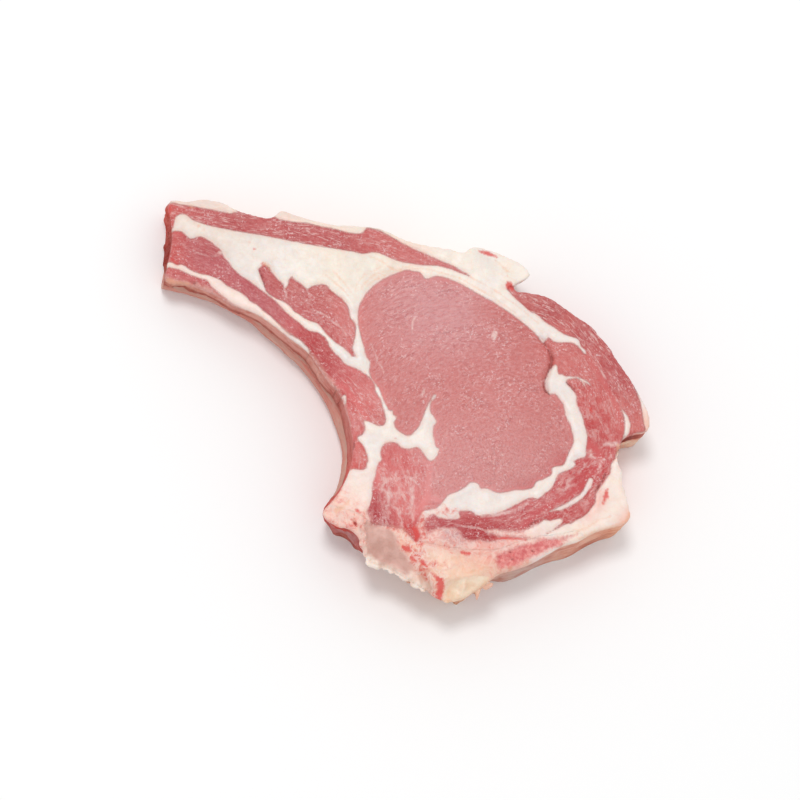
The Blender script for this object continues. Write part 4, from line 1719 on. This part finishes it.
def flesh_material(name, roughness):
    material, shader = new_material(name)
    place = place_in_mm()
    wobble = times_plus(clouds(place, 2.2), 1.0, -0.5)
    nibble = times_plus(clouds(place, 0.7, 2.0), 0.8, -0.4)
    edge = plus(wobble, nibble)
    softness = attribute("softness")
    frayed = times(edge, times_plus(softness, 1.9, -0.3))
    fat = plus(attribute("fat"), frayed)
    fat_mask = ramp(fat, times(softness, -1.0), softness)

    lean, lean_height = lean_finish(place)
    lean = mix(vein_share(place, edge), lean, VEIN_TINT)
    pale, pale_height = fat_finish(place, fat)
    pale, pale_height, smooth = bone_finish(place, edge, pale, pale_height)
    face = marks_over(edge, mix(fat_mask, lean, pale))
    wall, wall_height = wall_finish(place)
    on_wall = attribute("wall")

    height = times(lean_height, calc("SUBTRACT", 1.0, fat_mask))
    height = times_plus(pale_height, fat_mask, height)
    height = times_plus(wall_height, on_wall, height)
    rough = times_plus(times(smooth, fat_mask), -0.14, roughness)
    finish(shader, mix(on_wall, face, wall), height, rough, clouds(place, 1.3, 3.0, 0.6))
    shine = ramp(on_wall, 0.0, 1.0, MOIST_SHINE, DULL_SIDE)
    plug(shader.inputs["Specular IOR Level"], shine)
    moisten(shader, 0.2)
    return material


meat.data.materials.append(flesh_material("moist_lean_and_fat", 0.26))
meat.data.shade_smooth()
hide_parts("meat")
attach(meat, "root")
print("meat:", len(meat.data.materials[0].node_tree.nodes), "nodes in its material")

# %% [markdown]
# The half backbone was sawn and then broken out, so its lower edge is a row of chips and a spike. They
# start as balls and a cone that are joined to the slab, and the voxel remesh melts them into one skin
# with it. Separate chips would leave cracks where they touch.

# %% Chips and a spike
BONE_VOXEL = 0.42
CHIP_HEIGHT = SLAB - 0.35
CHIPS = [
    ((-12.4, -59.6), (2.4, 1.4, 1), -12),
    ((-10.4, -60.2), (1.6, 1.5, 1.2), 30),
    ((-13.4, -57.6), (1.3, 1, 1), 40),
    ((-7.6, -60.8), (1.2, 0.9, 0.7), 10),
    ((-5.4, -61.4), (1.4, 1.7, 0.9), -20),
    ((-3.2, -62.6), (1.1, 1, 1.1), 10),
    ((-1.2, -63.8), (2.3, 1.4, 1.4), -34),
    ((0.9, -63.6), (1.3, 1.9, 1), 25),
    ((3, -66.4), (2.2, 1.6, 1.4), -14),
    ((4, -64.6), (1.4, 1.8, 1), 10),
    ((5.4, -68.2), (1.2, 1.1, 0.9), 60),
    ((19.2, -67.2), (2.9, 1.3, 1), 72),
    ((14, -71.8), (1.8, 1.2, 0.7), 30),
    ((27.9, -66.9), (2, 1, 0.7), 30),
    ((-23.6, -46.4), (2.2, 1.2, 0.6), -20),
    ((-15.2, -45.4), (1.5, 1, 1.3), 80),
    ((-16.2, -48), (1.7, 1, 1.5), 115),
    ((-15.2, -50.6), (1.6, 0.9, 1.3), 75),
    ((-15.8, -53.2), (1.6, 1.1, 1.4), 115),
    ((-14.4, -55.8), (1.6, 1.1, 1.2), 70),
]
SPIKE = (24.3, -70.0)
SPIKE_LENGTH = 4.2
SPIKE_TURN = -6.0


def join_to(piece, addition):
    work_on(piece)
    addition.select_set(True)
    bpy.ops.object.join()


for (cx, cy), half_sizes, turn in CHIPS:
    bpy.ops.object.select_all(action="DESELECT")
    bpy.ops.mesh.primitive_ico_sphere_add(
        subdivisions=2, radius=1.0, location=(cx, cy, CHIP_HEIGHT), rotation=(0.0, 0.0, math.radians(turn)),
        scale=half_sizes,
    )
    join_to(bone, bpy.context.object)
bpy.ops.object.select_all(action="DESELECT")
bpy.ops.mesh.primitive_cone_add(
    vertices=10, radius1=1.1, radius2=0.15, depth=SPIKE_LENGTH, location=(*SPIKE, CHIP_HEIGHT - 0.5),
    rotation=(math.radians(90.0), 0.0, math.radians(SPIKE_TURN)),
)
join_to(bone, bpy.context.object)
even_skin(bone, BONE_VOXEL)
coarser_underside(bone)
print("backbone:", len(bone.data.polygons), "faces with", len(CHIPS), "chips")

# %% [markdown]
# Broken bone is rougher than flesh, cartilage is nearly smooth, and marrow lies a little lower than the
# rind of hard bone round it. A few ridges follow that rind. Where the bone reaches under the meat, it
# stays a hair below the meat's surface.

# %% The backbone's form
TUCK = 0.35
MARROW_DIP = 0.45
CARTILAGE_SMOOTHNESS = 0.8
BONE_RIPPLES = [(4.5, 0.3, 5), (2.0, 0.28, 6), (0.9, 0.14, 7)]
BONE_RIDGES = [
    (
        [(-14.8, -44.6), (-15.9, -46.5), (-15.6, -48.6), (-15.1, -50.7), (-14.8, -52.9), (-14.5, -54.5)],
        1.2, 0.9,
    ),
    ([(4.2, -60.2), (8, -61.4), (12.6, -64.6), (16, -64.8), (22, -63.6)], 1.4, 0.5),
    ([(30.4, -56.4), (38, -52.2), (46, -49.4), (56, -48)], 0.9, 0.35),
    ([(31, -61.4), (40, -58.6), (50, -53.4), (58, -49.6)], 0.9, 0.3),
]


def bone_relief(x, y, points):
    own = depth_in(x, y, backbone_loop)
    on_cartilage = smoothstep(-1.0, 1.0, depth_in(x, y, CARTILAGE))
    rise = ripples(points, BONE_RIPPLES) * (1.0 - CARTILAGE_SMOOTHNESS * on_cartilage)
    rise = rise - MARROW_DIP * smoothstep(-0.6, 0.9, depth_in(x, y, MARROW))
    for line, half_width, height in BONE_RIDGES:
        rise = rise + height * fade(0.0, half_width, distance_to_line(x, y, line))
    return rise * smoothstep(0.0, 1.5, own) - TUCK * smoothstep(0.0, OVERLAP, -own)


store_finish(bone, *shape_slab(bone, bone_relief))
settle(bone)
bone.data.materials.append(flesh_material("sawn_bone_and_cartilage", 0.28))
bone.data.shade_smooth()
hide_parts("backbone")
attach(bone, "root")
print("backbone:", len(bone.data.vertices), "vertices")

# %% [markdown]
# The rib is a rounded bar that lies in its groove with the outer side bare. It starts as an oval section
# that is carried along the rib's line, flat where it would reach below the underside. Its surface ripples
# gently. The grain here is simple: how far along the rib a point is, how high, and how far across.

# %% The rib's form
RIB_VOXEL = 0.5
RIB_SIDES = 24
RIB_RIPPLES = [(8.0, 0.4, 8), (3.0, 0.22, 9), (1.3, 0.1, 10)]
section = []
for side in range(RIB_SIDES):
    angle = 2 * math.pi * (side + 0.5) / RIB_SIDES
    inward = RIB_WIDTH / 2 + RIB_WIDTH / 2 * math.cos(angle)
    section.append((inward, max(RIB_CENTRE_HEIGHT + RIB_HEIGHT / 2 * math.sin(angle), 0.0)))
rib = sweep("long_rib", rib_line, section)
even_skin(rib, RIB_VOXEL)
points = points_of(rib)
along, across, _ = along_and_across(points[:, 0], points[:, 1], rib_line)
swell = ripples(points, RIB_RIPPLES) * smoothstep(0.3, 2.0, points[:, 2])
points += normals_of(rib) * swell[:, None]
points[:, 2] = np.maximum(points[:, 2], 0.0)
put_points(rib, points)
store(rib, "grain", np.stack([along, points[:, 2], across], axis=1))
print("rib:", len(rib.data.polygons), "faces,", round(along.max()), "mm long")

# %% [markdown]
# The sawn end needs two numbers of its own: how near a point is to the end, and how far it lies from the
# middle of the section, which parts the spongy inside from the rind.

# %% The rib's sawn end
end_x, end_y = RIB_EDGE[0]
off_middle = (points[:, 1] - end_y - RIB_WIDTH / 2) / RIB_WIDTH
store(rib, "sawn_end", fade(0.15, 0.5, points[:, 0] - end_x))
store(rib, "from_middle", np.hypot(off_middle, (points[:, 2] - RIB_CENTRE_HEIGHT) / RIB_HEIGHT))
settle(rib)
print("vertices on the sawn end:", int(np.sum(points[:, 0] < end_x + 0.5)))

# %% [markdown]
# The rib's membrane is tan, darker at the rim, and streaked with red where it was torn off the
# neighbouring chop. The streaks run along the rib, so their noise is stretched along its grain. The sawn
# end shows spongy red bone inside a pale rind.

# %% The rib's material
ALONG_STREAKS = (0.09, 1.0, 0.0)
ALONG_BLOTCHES = (0.35, 1.0, 0.0)
LOW_AND_HIGH_TAN = ((0.61, 0.24, 0.185), (0.57, 0.33, 0.27))
RED_BLOTCH = (0.6, 0.19, 0.145)
RED_STREAK = (0.52, 0.1, 0.075)
PALE_STREAK = (0.76, 0.52, 0.43)
PINK_LINE = (0.78, 0.34, 0.29)
UPPER_RIM = (0.44, 0.16, 0.13)
LOWER_RIM = (0.5, 0.2, 0.17)
SPONGE_REDS = ((0.3, 0.03, 0.028), (0.56, 0.16, 0.14))
RIND = (0.66, 0.4, 0.33)


def rib_material():
    material, shader = new_material("rib_under_membrane")
    place = place_in_mm()
    along_rib = attribute("grain", "Vector")
    height_on_rib = three_numbers("grain")[1]
    streaks = clouds(along_rib, 1.8, 5.0, 0.62, ALONG_STREAKS)
    blotches = clouds(along_rib, 5.0, 4.0, 0.6, ALONG_BLOTCHES)
    sponge = clouds(place, 0.9, 4.0, 0.65)
    uneven = clouds(place, 1.2, 3.0, 0.6)
    colour = mix(ramp(height_on_rib, 3.0, 9.0), *LOW_AND_HIGH_TAN)
    colour = cover(colour, RED_BLOTCH, blotches, 0.48, 0.66, 0.0, 0.8)
    colour = cover(colour, RED_STREAK, streaks, 0.52, 0.64, 0.0, 0.75)
    colour = cover(colour, PALE_STREAK, streaks, 0.34, 0.45, 0.4, 0.0)
    colour = cover(colour, PINK_LINE, streaks, 0.48, 0.5, 0.0, 0.25)
    rim = times_plus(blotches, 2.4, height_on_rib)
    colour = cover(colour, UPPER_RIM, rim, 10.4, 12.0, 0.0, 0.7)
    colour = cover(colour, LOWER_RIM, rim, 1.2, 3.0, 0.6, 0.0)
    rind = ramp(times_plus(sponge, 0.14, attribute("from_middle")), 0.42, 0.5)
    red = mix(ramp(sponge, 0.4, 0.58), *SPONGE_REDS)
    colour = mix(attribute("sawn_end"), colour, mix(rind, red, RIND))
    height = times_plus(streaks, 0.35, times(uneven, 0.25))
    finish(shader, colour, height, 0.24, uneven)
    shader.inputs["Specular IOR Level"].default_value = DULL_SIDE
    moisten(shader, 0.1)
    return material


rib.data.materials.append(rib_material())
rib.data.shade_smooth()
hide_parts("rib")
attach(rib, "root")
print("rib:", len(rib.data.materials[0].node_tree.nodes), "nodes in its material")

# %% [markdown]
# The chop is seen from above through a long lens, which leaves its sides almost parallel. The camera
# stands on a line from the point it aims at, turned by the azimuth and raised by the elevation, and the
# chop's own Y direction points up in the picture.

# %% Camera
VIEW_AZIMUTH = -31.0
VIEW_ELEVATION = 75.0
VIEW_DISTANCE = 1.4
VIEW_AIM = Vector((-1.6, 1.5, 12.5)) * MM
LENS = 180.0
SENSOR_WIDTH = 36.0
NEAREST_SEEN = 0.01
azimuth, elevation = math.radians(VIEW_AZIMUTH), math.radians(VIEW_ELEVATION)
level_part = math.cos(elevation)
back = Vector((math.sin(azimuth) * level_part, -math.cos(azimuth) * level_part, math.sin(elevation)))
upward = (Vector((0.0, 1.0, 0.0)) - back * back.y).normalized()
bpy.ops.object.camera_add(location=VIEW_AIM + back * VIEW_DISTANCE)
camera = bpy.context.object
camera.rotation_euler = Matrix((upward.cross(back), upward, back)).transposed().to_euler()
camera.data.lens = LENS
camera.data.sensor_width = SENSOR_WIDTH
camera.data.clip_start = NEAREST_SEEN
bpy.context.scene.camera = camera
print("camera:", [round(value, 3) for value in camera.location], "in metres")

# %% [markdown]
# The floor is plain and pale, like paper. It is marked as stage, because it isn't part of the chop.

# %% Floor
PAPER = (0.95, 0.95, 0.95, 1.0)
FLOOR_SIZE = 6.0
bpy.ops.object.select_all(action="DESELECT")
bpy.ops.mesh.primitive_plane_add(size=FLOOR_SIZE, location=(0.0, 0.0, 0.0))
floor = bpy.context.object
floor.name = "floor"
paper, paper_shader = new_material("pale_floor")
paper_shader.inputs["Base Color"].default_value = PAPER
paper_shader.inputs["Roughness"].default_value = 0.9
paper_shader.inputs["Specular IOR Level"].default_value = 0.0
floor.data.materials.append(paper)
print("floor:", FLOOR_SIZE, "m wide")

# %% [markdown]
# A bright room lights the chop evenly from all sides, as a white studio does. One large soft light adds a
# gentle direction and the moist highlights.

# %% Light
SOFT_LIGHT_PLACE = (-0.3, 0.4, 1.9)
SOFT_LIGHT_SIZE = 0.5
SOFT_LIGHT_POWER = 12.5
ROOM_LIGHT = 0.76
bpy.ops.object.light_add(type="AREA", location=SOFT_LIGHT_PLACE)
soft_box = bpy.context.object
soft_box.data.shape = "DISK"
soft_box.data.size = SOFT_LIGHT_SIZE
soft_box.data.energy = SOFT_LIGHT_POWER
soft_box.rotation_euler = (-soft_box.location).to_track_quat("-Z", "Y").to_euler()

world = bpy.data.worlds.new("bright_room")
bpy.context.scene.world = world
world.use_nodes = True
background = world.node_tree.nodes["Background"]
background.inputs["Color"].default_value = (1.0, 1.0, 1.0, 1.0)
background.inputs["Strength"].default_value = ROOM_LIGHT
bpy.context.scene.view_settings.view_transform = "Standard"
print("lights: a room of strength", ROOM_LIGHT, "and a soft light of", SOFT_LIGHT_POWER, "watts")
